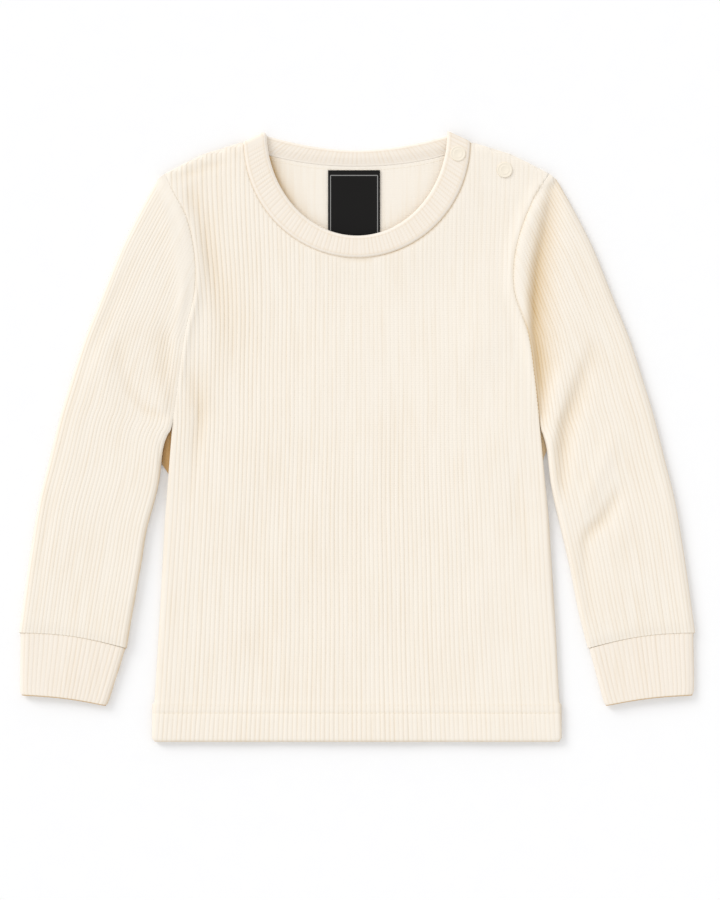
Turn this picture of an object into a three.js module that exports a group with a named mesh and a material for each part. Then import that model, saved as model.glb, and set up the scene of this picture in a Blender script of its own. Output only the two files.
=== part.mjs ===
// A child's rib-knit thermal top with long sleeves, laid flat on a surface with its front up.
// Millimetres. +X is to the right as seen from above, which is the wearer's left.
// +Y runs from the hem to the neck and +Z is up. The origin is under the middle of the top.

import * as THREE from "three";

// Cloth
const WALL = 1.5;
const BACK_WALL = 1.6;
const DOUBLED_WALL = 2.0;
const SEAM_GAP = 0.3;
const RIB_HEIGHT = 0.7;

// Body
const HEM_Y = -201.6;
const HEM_TOP_Y = -177;
const HEM_LIFT = 0.5;
const UNDERARM_Y = 8.3;
const UNDERARM_HALF = 120.5;
const BODY_HEIGHT = 4.4;
const SIDE_EDGE_HEIGHT = 3.2;
const ARMHOLE_EDGE_HEIGHT = 5.0;
const SHOULDER_EDGE_HEIGHT = 3.9;
const EDGE_ROLL = 6;
const NECK_LIFT = 1.2;
const NECK_LIFT_REACH = 18;
const BODY_RIBS_A_SIDE = 44;
const EDGE_SNAP = 0.4;

// Neckband: one strip between a seam edge and a free edge, both half ellipses at the front
const BAND_SEAM = { halfWidth: 74.8, depth: 76.6, topY: 194.4 };
const BAND_FREE = { halfWidth: 59.4, depth: 69.2, topY: 201.5 };
const BAND_BACK_SEAM = { middleY: 178.5, rise: 12.65, power: 2.2 };
const BAND_BACK_FREE = { middleY: 189, rise: 9.57, power: 1.8 };
const BAND_HALF_THICKNESS = 1.3;
const BAND_FRONT_Z = 5.2;
const BAND_EDGE_SHARE = 0.08;
const BAND_RIB_HEIGHT = 0.6;
const BAND_FRONT_RIBS = 81;
const BAND_BACK_RIBS = 48;
const BAND_TURN_STEPS = 6;
const NECK_GAP = 0.9;

// Sleeves and cuffs
const SLEEVE_RIBS = 28;
const SLEEVE_LEAST_PITCH = 2.05;
const SLEEVE_HEIGHT = 5.6;
const SLEEVE_EDGE_Z = 2.6;
const SLEEVE_EDGE_ROLL = 7;
const SLEEVE_UNDER_INSET = 1.2;
const SLEEVE_HEAD_ROLL = 1.1;
const CUFF_RIBS = 22;
const CUFF_HEIGHT = 5.0;
const CUFF_EDGE_Z = 2.5;
const INNER_COLUMNS = 14;
const BACK_COLUMNS = 4;
const UNDER_SHARES = [0.96, 0.75, 0.5, 0.25, 0.04];

// Label and snaps
const LABEL = { left: -19.1, right: 15.2, top: 175.9, bottom: 128, thickness: 1.0, corner: 1.5 };
const SNAP = { radius: 5, ringRadius: 3, height: 1.4, dish: 0.5, sides: 20 };
const BAND_SNAP_AT = { x: 66.5, y: 186.5 };
const SHOULDER_SNAP_AT = { x: 97.4, y: 175.8 };

// Side edges of the body below the underarm
const SIDES = [
  { y: HEM_Y, left: -133.6, right: 133.4 },
  { y: HEM_Y + 2.6, left: -135.4, right: 135.1 },
  { y: HEM_TOP_Y, left: -135.2, right: 135.0 },
  { y: HEM_TOP_Y + 1.5, left: -133.7, right: 133.6 },
  { y: -120, left: -130.3, right: 130.8 },
  { y: -55, left: -126.8, right: 126.7 },
];

// The armholes, where the panels and the sleeves are sewn together, from the underarm to the shoulder
const ARMHOLES = [
  { y: UNDERARM_Y, left: -121.8, right: 120.5 },
  { y: 40.6, left: -117.5, right: 117.0 },
  { y: 67.6, left: -113.6, right: 113.0 },
  { y: 98.5, left: -106.9, right: 103.6 },
  { y: 124.8, left: -107.8, right: 105.2 },
  { y: 148.9, left: -114.2, right: 113.0 },
  { y: 162, left: -121.5, right: 119.2 },
  { y: 173.3, left: -127, right: 127 },
];

// The shoulder line, from the armhole to the neckband
const SHOULDERS = [
  { y: 180, left: -114.4, right: 114.4 },
  { y: 186.5, left: -101, right: 101 },
  { y: 190.5, left: -88, right: 88 },
  { y: 193.8, left: -77.5, right: 77.5 },
];

// Rows that only the curve of each neck edge needs
const FRONT_NECK_ROWS = [BAND_SEAM.topY - BAND_SEAM.depth - NECK_GAP, 117.6, 119.8, 134.5];
const BACK_NECK_ROWS = [177.8, 178.6, 183];

// Sleeve sections by their outer end. The inner end lies on the armhole above the underarm.
const SLEEVE_SECTIONS = [
  { outerX: 131.9, outerY: 169.5, armhole: 7, bow: 0 },
  { outerX: 132.6, outerY: 168.0, armhole: 6, bow: 0 },
  { outerX: 137.3, outerY: 160.0, armhole: 5, bow: 0 },
  { outerX: 145.9, outerY: 144.2, armhole: 4, bow: 0 },
  { outerX: 156.4, outerY: 123.0, armhole: 3, bow: 0 },
  { outerX: 169.6, outerY: 90.0, armhole: 2, bow: 0 },
  { outerX: 180.2, outerY: 63.7, armhole: 1, bow: 0 },
  { outerX: 190.9, outerY: 30.5, armhole: 0, bow: 0 },
  { outerX: 196.7, outerY: 10.9, innerY: -8, innerRight: 125.0, innerLeft: 127.6, bow: 0 },
  { outerX: 203.3, outerY: -15.5, innerY: -33, innerRight: 128.8, innerLeft: 132.0, bow: 0.5 },
  { outerX: 209.9, outerY: -41.9, innerY: -61, innerRight: 134.5, innerLeft: 138.6, bow: 1.0 },
  { outerX: 214.5, outerY: -68.3, innerY: -87, innerRight: 140.6, innerLeft: 142.9, bow: 1.5 },
  { outerX: 218.5, outerY: -94.7, innerY: -116, innerRight: 146.3, innerLeft: 148.1, bow: 2.0 },
  { outerX: 223.3, outerY: -129.7, innerY: -139.8, innerRight: 152.4, innerLeft: 152.0, bow: 2.7 },
];

const CUFF_SECTIONS = [
  { outerX: 222.1, outerY: -130.5, innerY: -140.4, innerRight: 153.6, innerLeft: 153.2, bow: 2.7 },
  { outerX: 222.2, outerY: -134.0, innerY: -144.2, innerRight: 154.5, innerLeft: 154.2, bow: 2.6 },
  { outerX: 222.6, outerY: -165.0, innerY: -173.0, innerRight: 162.3, innerLeft: 163.4, bow: 1.6 },
  { outerX: 221.4, outerY: -171.0, innerY: -177.9, innerRight: 164.4, innerLeft: 166.0, bow: 1.4 },
];

// The largest folds: a soft trough or ridge along a line, by its ends, half width and height
const BODY_FOLDS = [
  { x1: -104, y1: 163, x2: -96, y2: 90, width: 7, height: -1.0 },
  { x1: -96, y1: 90, x2: -80, y2: 44, width: 10, height: -0.8 },
  { x1: -106, y1: 34, x2: -104, y2: -22, width: 5, height: -0.9 },
  { x1: 82, y1: 78, x2: 86, y2: 38, width: 14, height: 0.7 },
  { x1: 78, y1: -95, x2: 84, y2: -150, width: 9, height: 0.4 },
];
const SLEEVE_FOLDS = [
  { x1: 128.7, y1: 163, x2: 120.1, y2: 123, width: 6, height: -1.9 },
  { x1: 120.1, y1: 123, x2: 118.2, y2: 90, width: 6, height: -2.3 },
  { x1: 118.2, y1: 90, x2: 121.5, y2: 57, width: 6, height: -2.1 },
  { x1: 121.5, y1: 57, x2: 125, y2: 22, width: 5, height: -1.6 },
  { x1: 151, y1: 50, x2: 137.5, y2: -3, width: 6, height: -1.3 },
  { x1: 137.5, y1: -3, x2: 136, y2: -28, width: 5, height: -1.1 },
  { x1: 147, y1: 2, x2: 141, y2: -40, width: 6, height: 0.8 },
  { x1: 168, y1: -45, x2: 154, y2: -63, width: 6, height: -1.0 },
  { x1: -156, y1: 57, x2: -150, y2: 31, width: 6, height: -0.8 },
  { x1: -150, y1: 31, x2: -134, y2: 16, width: 6, height: -0.9 },
  { x1: -167, y1: 66, x2: -163, y2: 20, width: 8, height: 0.7 },
];

// Small helpers

const clamp = (value, low, high) => Math.min(high, Math.max(low, value));

function smoothstep(from, to, value) {
  const share = clamp((value - from) / (to - from), 0, 1);
  return share * share * (3 - 2 * share);
}

// How far a round edge has risen, at a distance in from the edge
function quarterRound(distance, reach) {
  const share = clamp(distance / reach, 0, 1);
  return Math.sqrt(1 - (1 - share) ** 2);
}

// The height that a table of folds gives at a point: its deepest trough and its highest ridge
function foldHeight(folds, x, y) {
  let trough = 0;
  let ridge = 0;
  for (const fold of folds) {
    const alongX = fold.x2 - fold.x1;
    const alongY = fold.y2 - fold.y1;
    const run = (x - fold.x1) * alongX + (y - fold.y1) * alongY;
    const share = clamp(run / (alongX ** 2 + alongY ** 2), 0, 1);
    const away = Math.hypot(x - fold.x1 - share * alongX, y - fold.y1 - share * alongY);
    const height = fold.height * Math.exp(-((away / fold.width) ** 2));
    trough = Math.min(trough, height);
    ridge = Math.max(ridge, height);
  }
  return trough + ridge;
}

// The value of a column of a table at a height, on straight lines between its rows
function atY(rows, column, y) {
  for (let index = 1; index < rows.length; index += 1) {
    const below = rows[index - 1];
    const above = rows[index];
    if (y <= above.y || index === rows.length - 1) {
      const share = clamp((y - below.y) / (above.y - below.y), 0, 1);
      return below[column] + share * (above[column] - below[column]);
    }
  }
  return rows[0][column];
}

// Walls of cloth

// A mesh is gathered triangle by triangle. Points that coincide share one vertex.
class Cloth {
  constructor() {
    this.positions = [];
    this.indices = [];
    this.known = new Map();
  }

  vertex(point) {
    const key = point.map((value) => value.toFixed(3)).join(",");
    if (!this.known.has(key)) {
      this.known.set(key, this.positions.length / 3);
      this.positions.push(...point);
    }
    return this.known.get(key);
  }

  triangle(a, b, c) {
    const [i, j, k] = [this.vertex(a), this.vertex(b), this.vertex(c)];
    if (i !== j && j !== k && k !== i) {
      this.indices.push(i, j, k);
    }
  }

  quad(a, b, c, d) {
    this.triangle(a, b, c);
    this.triangle(a, c, d);
  }

  // Closes the gap between two lines of points that have different numbers of points, always by
  // the shorter of the two next steps
  zip(first, second) {
    const apart = (a, b) => Math.hypot(a[0] - b[0], a[1] - b[1], a[2] - b[2]);
    let i = 0;
    let j = 0;
    while (i < first.length - 1 || j < second.length - 1) {
      const firstStep = i < first.length - 1 ? apart(first[i + 1], second[j]) : Infinity;
      const secondStep = j < second.length - 1 ? apart(first[i], second[j + 1]) : Infinity;
      if (firstStep <= secondStep) {
        this.triangle(first[i], first[i + 1], second[j]);
        i += 1;
      } else {
        this.triangle(first[i], second[j + 1], second[j]);
        j += 1;
      }
    }
  }

  surface(rows, reversed) {
    for (let row = 1; row < rows.length; row += 1) {
      for (let column = 1; column < rows[row].length; column += 1) {
        const corners = [
          rows[row - 1][column - 1],
          rows[row - 1][column],
          rows[row][column],
          rows[row][column - 1],
        ];
        if (reversed) {
          corners.reverse();
        }
        this.quad(...corners);
      }
    }
  }

  // A wall between an outer and an inner surface with the same rows. Its first and last columns
  // are closed only between the rows that the two tests name.
  wall(outer, inner, firstOpen, lastOpen) {
    const end = outer.length - 1;
    this.surface(outer, false);
    this.surface(inner, true);
    for (let row = 1; row <= end; row += 1) {
      if (firstOpen(row)) {
        this.quad(outer[row - 1][0], outer[row][0], inner[row][0], inner[row - 1][0]);
      }
      if (lastOpen(row)) {
        this.quad(outer[row].at(-1), outer[row - 1].at(-1), inner[row - 1].at(-1), inner[row].at(-1));
      }
    }
    this.zip([...outer[0]].reverse(), [...inner[0]].reverse());
    this.zip(outer[end], inner[end]);
  }

  geometry() {
    const geometry = new THREE.BufferGeometry();
    let volume = 0;
    const at = (index) => new THREE.Vector3().fromArray(this.positions, 3 * index);
    for (let face = 0; face < this.indices.length; face += 3) {
      const [a, b, c] = this.indices.slice(face, face + 3).map(at);
      volume += a.dot(b.cross(c));
    }
    if (volume < 0) {
      this.indices.reverse();
    }
    geometry.setAttribute("position", new THREE.Float32BufferAttribute(this.positions, 3));
    geometry.setIndex(this.indices);
    return geometry;
  }
}

// Body panels

const BODY_EDGE = [...SIDES, ...ARMHOLES, ...SHOULDERS];

// Half the width of the neck hole at a height: zero below the neck
function frontNeckHalf(y) {
  const depth = (BAND_SEAM.topY - y) / (BAND_SEAM.depth + NECK_GAP);
  return depth >= 1 ? 0 : (BAND_SEAM.halfWidth + NECK_GAP) * Math.sqrt(1 - Math.max(0, depth) ** 2);
}

function backNeckHalf(y) {
  const rise = (y + 2 * SEAM_GAP - BAND_BACK_SEAM.middleY) / BAND_BACK_SEAM.rise;
  const share = clamp(rise, 0, 1) ** (1 / BAND_BACK_SEAM.power);
  return share * (BAND_SEAM.halfWidth + NECK_GAP);
}

// How high the outside of the front lies at a point, without its ribs
function frontHeight(x, y, fromEdge) {
  const toArmhole = smoothstep(UNDERARM_Y, 60, y);
  const toShoulder = smoothstep(162, 178, y);
  const beside = THREE.MathUtils.lerp(SIDE_EDGE_HEIGHT, ARMHOLE_EDGE_HEIGHT, toArmhole);
  const edge = THREE.MathUtils.lerp(beside, SHOULDER_EDGE_HEIGHT, toShoulder);
  const around = Math.hypot(x / BAND_SEAM.halfWidth, (BAND_SEAM.topY - y) / BAND_SEAM.depth);
  const fromNeck = Math.max(0, around - 1) * BAND_SEAM.halfWidth;
  const neck = NECK_LIFT * Math.exp(-((fromNeck / NECK_LIFT_REACH) ** 2));
  const hem = HEM_LIFT * (1 - smoothstep(HEM_TOP_Y, HEM_TOP_Y + 1.5, y));
  const inside = BODY_HEIGHT + neck + foldHeight(BODY_FOLDS, x, y);
  return hem + THREE.MathUtils.lerp(edge, inside, quarterRound(fromEdge, EDGE_ROLL));
}

// Ribs stand upright above the underarm and fan out below it, as the body widens
function ribFan(y) {
  const right = y < UNDERARM_Y ? atY(BODY_EDGE, "right", y) : UNDERARM_HALF;
  return right / UNDERARM_HALF;
}

// One row of half a panel: columns run from the side edge to the middle or the neck
function panelRow(side, y, neckHalf, columns, heightAt) {
  const edge = Math.abs(atY(BODY_EDGE, side < 0 ? "left" : "right", y));
  const points = [];
  for (let column = 0; column <= columns; column += 1) {
    const upright = UNDERARM_HALF * ribFan(y) * (1 - column / columns);
    let half = clamp(upright, neckHalf, edge);
    if (column === 0 || edge - half < EDGE_SNAP) {
      half = edge;
    }
    if (column === columns || half - neckHalf < EDGE_SNAP) {
      half = neckHalf;
    }
    const fromEdge = edge - half;
    const fromNeck = neckHalf > 0 ? half - neckHalf : EDGE_ROLL;
    points.push([side * half, y, heightAt(side * half, y, fromEdge, fromNeck, column)]);
  }
  return points;
}

function panel(rowsY, neckHalf, outerColumns, innerColumns, outerHeight, innerHeight) {
  const cloth = new Cloth();
  for (const side of [-1, 1]) {
    const outer = rowsY.map((y) => panelRow(side, y, neckHalf(y), outerColumns, outerHeight));
    const inner = rowsY.map((y) => panelRow(side, y, neckHalf(y), innerColumns, innerHeight));
    if (side > 0) {
      outer.forEach((row) => row.reverse());
      inner.forEach((row) => row.reverse());
    }
    const always = () => true;
    const atNeck = (row) => neckHalf(rowsY[row]) > 0;
    cloth.wall(outer, inner, side < 0 ? always : atNeck, side < 0 ? atNeck : always);
  }
  return cloth.geometry();
}

function panelRows(neckRows) {
  return [...BODY_EDGE.map((row) => row.y), ...neckRows].sort((a, b) => a - b);
}

function frontPanel() {
  const outerHeight = (x, y, fromEdge, fromNeck, column) => {
    const crest = column % 2 === 1 ? RIB_HEIGHT : 0;
    const fade = clamp(Math.min(fromEdge, fromNeck) / 1.5, 0, 1);
    return frontHeight(x, y, fromEdge) + crest * fade;
  };
  const innerHeight = (x, y, fromEdge) => {
    const lowest = BACK_WALL + SEAM_GAP;
    return Math.max(lowest, frontHeight(x, y, fromEdge) - WALL);
  };
  const rows = panelRows(FRONT_NECK_ROWS);
  return panel(rows, frontNeckHalf, 2 * BODY_RIBS_A_SIDE, INNER_COLUMNS, outerHeight, innerHeight);
}

function backPanel() {
  const upper = () => BACK_WALL;
  const under = () => 0;
  return panel(panelRows(BACK_NECK_ROWS), backNeckHalf, BACK_COLUMNS, BACK_COLUMNS, upper, under);
}

// Sleeves and cuffs: flattened tubes

function sectionEnds(section, side) {
  const outer = new THREE.Vector2(side * section.outerX, section.outerY);
  if (section.armhole === undefined) {
    const innerX = side < 0 ? -section.innerLeft : section.innerRight;
    return [outer, new THREE.Vector2(innerX, section.innerY)];
  }
  const hole = ARMHOLES[section.armhole];
  const innerX = side < 0 ? hole.left - SEAM_GAP : hole.right + SEAM_GAP;
  return [outer, new THREE.Vector2(innerX, hole.y)];
}

// The outer and the inner ring of one section. An open section ends at the armhole and is not
// closed at its inner end.
function tubeSection(section, side, tube) {
  const [from, to] = sectionEnds(section, side);
  const open = section.armhole > 0;
  const width = from.distanceTo(to);
  const along = to.clone().sub(from).divideScalar(width);
  const upSleeve = new THREE.Vector2(side * along.y, -side * along.x);
  const place = (across, z) => {
    const bow = section.bow * Math.sin((Math.PI * across) / width);
    const spot = from.clone().addScaledVector(along, across).addScaledVector(upSleeve, bow);
    return [spot.x, spot.y, z];
  };
  const top = (across) => {
    const [x, y] = place(across, 0);
    const inEdge = quarterRound(across, tube.edgeRoll);
    const fromInner = width - across;
    const farEdge = open ? ARMHOLE_EDGE_HEIGHT : tube.edgeZ;
    const rise = quarterRound(fromInner, tube.edgeRoll);
    const headRoll = open ? SLEEVE_HEAD_ROLL * Math.exp(-(((fromInner - 5) / 5) ** 2)) : 0;
    const middle = tube.height + headRoll + foldHeight(tube.folds, x, y);
    const near = THREE.MathUtils.lerp(tube.edgeZ, middle, inEdge);
    return across < fromInner ? near : THREE.MathUtils.lerp(farEdge, middle, rise);
  };
  const pitch = Math.max(tube.leastPitch, width / tube.ribs);
  const inset = Math.min(SLEEVE_UNDER_INSET, width / 4);
  const outer = [];
  outer.push(place(width, open ? 0 : tube.edgeZ));
  for (const share of UNDER_SHARES) {
    outer.push(place(clamp(share * width, inset, width - inset), 0));
  }
  outer.push(place(0, tube.edgeZ));
  for (let column = 1; column < 2 * tube.ribs; column += 1) {
    let across = Math.min((column * pitch) / 2, width);
    across = width - across < EDGE_SNAP ? width : across;
    const fade = clamp(Math.min(across, width - across) / 1.5, 0, 1);
    const crest = column % 2 === 1 ? RIB_HEIGHT * fade : 0;
    outer.push(place(across, top(across) + crest));
  }
  outer.push(place(width, open ? ARMHOLE_EDGE_HEIGHT : tube.edgeZ));

  const near = Math.min(tube.wall, width / 4);
  const far = open ? width : width - near;
  const inner = [];
  inner.push(place(far, open ? tube.wall : tube.edgeZ));
  for (const share of UNDER_SHARES) {
    inner.push(place(near + share * (far - near), tube.wall));
  }
  inner.push(place(near, tube.edgeZ));
  for (let column = 1; column < INNER_COLUMNS; column += 1) {
    const across = near + (column / INNER_COLUMNS) * (far - near);
    inner.push(place(across, Math.max(tube.wall + SEAM_GAP, top(across) - tube.wall)));
  }
  inner.push(place(far, open ? ARMHOLE_EDGE_HEIGHT - tube.wall : tube.edgeZ));
  return { outer, inner };
}

function flatTube(sections, side, tube) {
  const cloth = new Cloth();
  const rings = sections.map((section) => tubeSection(section, side, tube));
  const mouth = (row) => sections[row - 1].armhole > 0;
  cloth.wall(rings.map((ring) => ring.outer), rings.map((ring) => ring.inner), mouth, mouth);
  return cloth.geometry();
}

const sleeveTube = {
  ribs: SLEEVE_RIBS,
  leastPitch: SLEEVE_LEAST_PITCH,
  height: SLEEVE_HEIGHT,
  edgeZ: SLEEVE_EDGE_Z,
  edgeRoll: SLEEVE_EDGE_ROLL,
  wall: WALL,
  folds: SLEEVE_FOLDS,
};

const cuffTube = {
  ribs: CUFF_RIBS,
  leastPitch: 0,
  height: CUFF_HEIGHT,
  edgeZ: CUFF_EDGE_Z,
  edgeRoll: SLEEVE_EDGE_ROLL,
  wall: DOUBLED_WALL,
  folds: [],
};

// Neckband

function frontBandEdge(curve, angle, z) {
  const x = curve.halfWidth * Math.sin(angle);
  return new THREE.Vector3(x, curve.topY - curve.depth * Math.cos(angle), z);
}

function backBandEdge(curve, halfWidth, share, z) {
  const y = curve.middleY + curve.rise * Math.abs(share) ** curve.power;
  return new THREE.Vector3(halfWidth * share, y, z);
}

// The strip is laid out station by station: round the front from its open end, over the other
// shoulder in a tight turn, and back under itself along the back of the neck.
function bandStations() {
  const stations = [];
  const turnRadius = (BAND_FRONT_Z - BAND_HALF_THICKNESS) / 2;
  const turnZ = BAND_HALF_THICKNESS + turnRadius;
  const turnReach = turnRadius + BAND_HALF_THICKNESS;
  const lastAngle = -Math.PI / 2 + Math.asin(turnReach / BAND_SEAM.depth);
  const up = new THREE.Vector3(0, 0, 1);
  for (let step = 0; step <= 2 * BAND_FRONT_RIBS; step += 1) {
    const angle = Math.PI / 2 + (step / (2 * BAND_FRONT_RIBS)) * (lastAngle - Math.PI / 2);
    const seam = frontBandEdge(BAND_SEAM, angle, BAND_FRONT_Z);
    const free = frontBandEdge(BAND_FREE, angle, BAND_FRONT_Z);
    stations.push({ seam, free, outward: up, crest: step % 2, ribbedFace: 1 });
  }
  const { seam: lastSeam, free: lastFree } = stations.at(-1);
  const across = lastFree.clone().sub(lastSeam).normalize();
  const over = new THREE.Vector3().crossVectors(up, across);
  for (let step = 1; step < BAND_TURN_STEPS; step += 1) {
    const turned = (step / BAND_TURN_STEPS) * Math.PI;
    const outward = up.clone().multiplyScalar(Math.cos(turned)).addScaledVector(over, Math.sin(turned));
    const move = outward.clone().multiplyScalar(turnRadius);
    const seam = new THREE.Vector3(lastSeam.x, lastSeam.y, turnZ).add(move);
    const free = new THREE.Vector3(lastFree.x, lastFree.y, turnZ).add(move);
    stations.push({ seam, free, outward, crest: 0, ribbedFace: 1 });
  }
  const down = up.clone().negate();
  for (let step = 0; step <= 2 * BAND_BACK_RIBS; step += 1) {
    const share = -1 + step / BAND_BACK_RIBS;
    const z = BAND_HALF_THICKNESS;
    const seam = backBandEdge(BAND_BACK_SEAM, BAND_SEAM.halfWidth, share, z);
    const free = backBandEdge(BAND_BACK_FREE, BAND_FREE.halfWidth, share, z);
    stations.push({ seam, free, outward: down, crest: step % 2, ribbedFace: -1 });
  }
  return stations;
}

function bandRing(station) {
  const { seam, free, outward, crest, ribbedFace } = station;
  const place = (share, away) => {
    const spot = seam.clone().lerp(free, share).addScaledVector(outward, away);
    return spot.toArray();
  };
  const rib = crest * BAND_RIB_HEIGHT;
  const outer = BAND_HALF_THICKNESS + (ribbedFace > 0 ? rib : 0);
  const inner = -BAND_HALF_THICKNESS - (ribbedFace < 0 ? rib : 0);
  return [
    place(0, 0),
    place(BAND_EDGE_SHARE, outer),
    place(1 - BAND_EDGE_SHARE, outer),
    place(1, 0),
    place(1 - BAND_EDGE_SHARE, inner),
    place(BAND_EDGE_SHARE, inner),
    place(0, 0),
  ];
}

function neckband() {
  const cloth = new Cloth();
  const rings = bandStations().map(bandRing);
  cloth.surface(rings, false);
  for (const [ring, last] of [[rings[0], false], [rings.at(-1), true]]) {
    for (let corner = 1; corner < ring.length - 2; corner += 1) {
      const [b, c] = last ? [ring[corner], ring[corner + 1]] : [ring[corner + 1], ring[corner]];
      cloth.triangle(ring[0], b, c);
    }
  }
  return cloth.geometry();
}

// Label and snaps

function label() {
  const { left, right, top, bottom, corner, thickness } = LABEL;
  const shape = new THREE.Shape();
  shape.moveTo(left, top);
  shape.lineTo(left, bottom + corner);
  shape.quadraticCurveTo(left, bottom, left + corner, bottom);
  shape.lineTo(right - corner, bottom);
  shape.quadraticCurveTo(right, bottom, right, bottom + corner);
  shape.lineTo(right, top);
  shape.closePath();
  return new THREE.ExtrudeGeometry(shape, { depth: thickness, bevelEnabled: false, curveSegments: 3 });
}

// A round cap with a raised rim and a raised inner ring, turned about its own axis
function snapCap() {
  const { radius, ringRadius, height, dish, sides } = SNAP;
  const profile = [
    new THREE.Vector2(0, 0),
    new THREE.Vector2(radius - 0.3, 0),
    new THREE.Vector2(radius, 0.4),
    new THREE.Vector2(radius - 0.5, height),
    new THREE.Vector2(radius - 1.1, height),
    new THREE.Vector2(ringRadius + 0.5, height - dish),
    new THREE.Vector2(ringRadius, height - 0.1),
    new THREE.Vector2(ringRadius - 0.6, height - dish),
    new THREE.Vector2(0, height - dish),
  ];
  const geometry = new THREE.LatheGeometry(profile, sides);
  geometry.rotateX(Math.PI / 2);
  return geometry;
}

// The whole top

const ribKnit = (color) => new THREE.MeshStandardMaterial({ color, roughness: 0.95, metalness: 0 });
const wovenBlack = new THREE.MeshStandardMaterial({ color: 0x1c1b1b, roughness: 0.8, metalness: 0 });
const snapCream = new THREE.MeshStandardMaterial({ color: 0xf3e9d6, roughness: 0.45, metalness: 0 });

const group = new THREE.Group();

function addPiece(name, geometry, material, place = [0, 0, 0]) {
  const mesh = new THREE.Mesh(geometry, material);
  mesh.name = name;
  mesh.position.set(...place);
  group.add(mesh);
}

addPiece("back_panel", backPanel(), ribKnit(0xf4ead9));
addPiece("front_panel", frontPanel(), ribKnit(0xf9f1e3));
addPiece("sleeve_left", flatTube(SLEEVE_SECTIONS, 1, sleeveTube), ribKnit(0xfaf1e3));
addPiece("sleeve_right", flatTube(SLEEVE_SECTIONS, -1, sleeveTube), ribKnit(0xfaf1e3));
addPiece("cuff_left", flatTube(CUFF_SECTIONS, 1, cuffTube), ribKnit(0xf6ecdb));
addPiece("cuff_right", flatTube(CUFF_SECTIONS, -1, cuffTube), ribKnit(0xf6ecdb));
addPiece("neckband", neckband(), ribKnit(0xf9efe4));
addPiece("label", label(), wovenBlack, [0, 0, BACK_WALL + SEAM_GAP]);

const bandTop = BAND_FRONT_Z + BAND_HALF_THICKNESS + BAND_RIB_HEIGHT + SEAM_GAP;
addPiece("snap_neckband", snapCap(), snapCream, [BAND_SNAP_AT.x, BAND_SNAP_AT.y, bandTop]);

const { x: snapX, y: snapY } = SHOULDER_SNAP_AT;
const clothUnderSnap = [-SNAP.radius, 0, SNAP.radius].map((aside) => {
  const fromEdge = atY(BODY_EDGE, "right", snapY) - snapX - aside;
  return frontHeight(snapX + aside, snapY, fromEdge);
});
const shoulderTop = Math.max(...clothUnderSnap) + RIB_HEIGHT + SEAM_GAP;
addPiece("snap_shoulder", snapCap(), snapCream, [snapX, snapY, shoulderTop]);

export default group;
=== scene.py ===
# %% [markdown]
# # A child's rib-knit thermal top, laid flat
#
# The top lies on its back on a white table and is seen from straight above. The frame holds plain
# solids of its pieces at their real size. Each lesson below makes one piece of cloth again with
# finer ribs, folds and seams, in the same place, and gives it the finish of cotton rib knit.

# %% Load the fixed frame
import math

import bmesh
import bpy
import numpy as np
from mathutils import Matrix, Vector


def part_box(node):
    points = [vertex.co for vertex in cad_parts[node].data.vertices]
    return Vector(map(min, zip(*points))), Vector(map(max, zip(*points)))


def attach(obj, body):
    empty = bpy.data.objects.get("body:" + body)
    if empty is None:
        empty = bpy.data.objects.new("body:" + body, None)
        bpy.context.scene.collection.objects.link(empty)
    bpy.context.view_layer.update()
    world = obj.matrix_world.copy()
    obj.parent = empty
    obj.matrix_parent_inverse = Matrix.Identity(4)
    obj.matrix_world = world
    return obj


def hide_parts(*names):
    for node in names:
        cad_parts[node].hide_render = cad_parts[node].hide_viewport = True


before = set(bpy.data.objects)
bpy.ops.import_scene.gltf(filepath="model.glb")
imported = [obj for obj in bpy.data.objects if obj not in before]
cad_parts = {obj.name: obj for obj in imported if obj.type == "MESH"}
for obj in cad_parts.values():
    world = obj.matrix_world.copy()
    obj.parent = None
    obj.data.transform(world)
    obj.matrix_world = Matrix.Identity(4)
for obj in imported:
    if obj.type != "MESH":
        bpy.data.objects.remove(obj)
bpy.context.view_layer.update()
print("nodes in the frame:", sorted(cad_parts))

# %% [markdown]
# ## Camera
# A catalogue picture of a top is taken with a long lens straight above it, so that no side looks
# nearer than another. The picture is 720 by 900 pixels and a pixel is 0.66 mm on the table. The
# sensor's width belongs to the long side of the picture, which is its height here.

# %% Camera straight above
MM = 0.001
PIXEL = 0.66 * MM
PICTURE_SIDE = 900 * PIXEL
PICTURE_MIDDLE = Vector((3 * PIXEL, -13.5 * PIXEL, 0))
LENS = 100.0

camera_data = bpy.data.cameras.new("camera_above")
camera_data.lens = LENS
camera = bpy.data.objects.new("camera_above", camera_data)
bpy.context.scene.collection.objects.link(camera)
CLOTH_LEVEL = 4 * MM
camera_height = PICTURE_SIDE * LENS / camera_data.sensor_width + CLOTH_LEVEL
camera.location = PICTURE_MIDDLE + Vector((0, 0, camera_height))
bpy.context.scene.camera = camera
print("camera height in m:", round(camera_height, 3))

# %% [markdown]
# ## Sizes
# The sizes are those of the frame's solids, in millimetres. Each table has one row for a height or
# a section, and the curves between the rows are smooth. The armholes are shared by the panels and
# the sleeves, so that the seams meet all along.

# %% Named sizes
WALL = 1.5
BACK_WALL = 1.6
DOUBLED_WALL = 2.0
LAYER_GAP = 0.3
SEAM_GAP = 0.02
RIB_HEIGHT = 0.25

HEM_Y = -201.6
HEM_TOP_Y = -177.0
HEM_STITCH_Y = -182.5
HEM_LIFT = 0.3
UNDERARM_Y = 8.3
UNDERARM_HALF = 120.5
BODY_HEIGHT = 4.4
SIDE_EDGE_HEIGHT = 3.4
UNDERARM_EDGE_HEIGHT = 4.4
ARMHOLE_EDGE_HEIGHT = 5.3
SHOULDER_EDGE_HEIGHT = 3.9
SHOULDER_TOP_Y = 193.8
EDGE_ROLL = 6.0
NECK_LIFT = 0.85
NECK_LIFT_REACH = 18.0
BODY_RIBS_A_SIDE = 44

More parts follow.
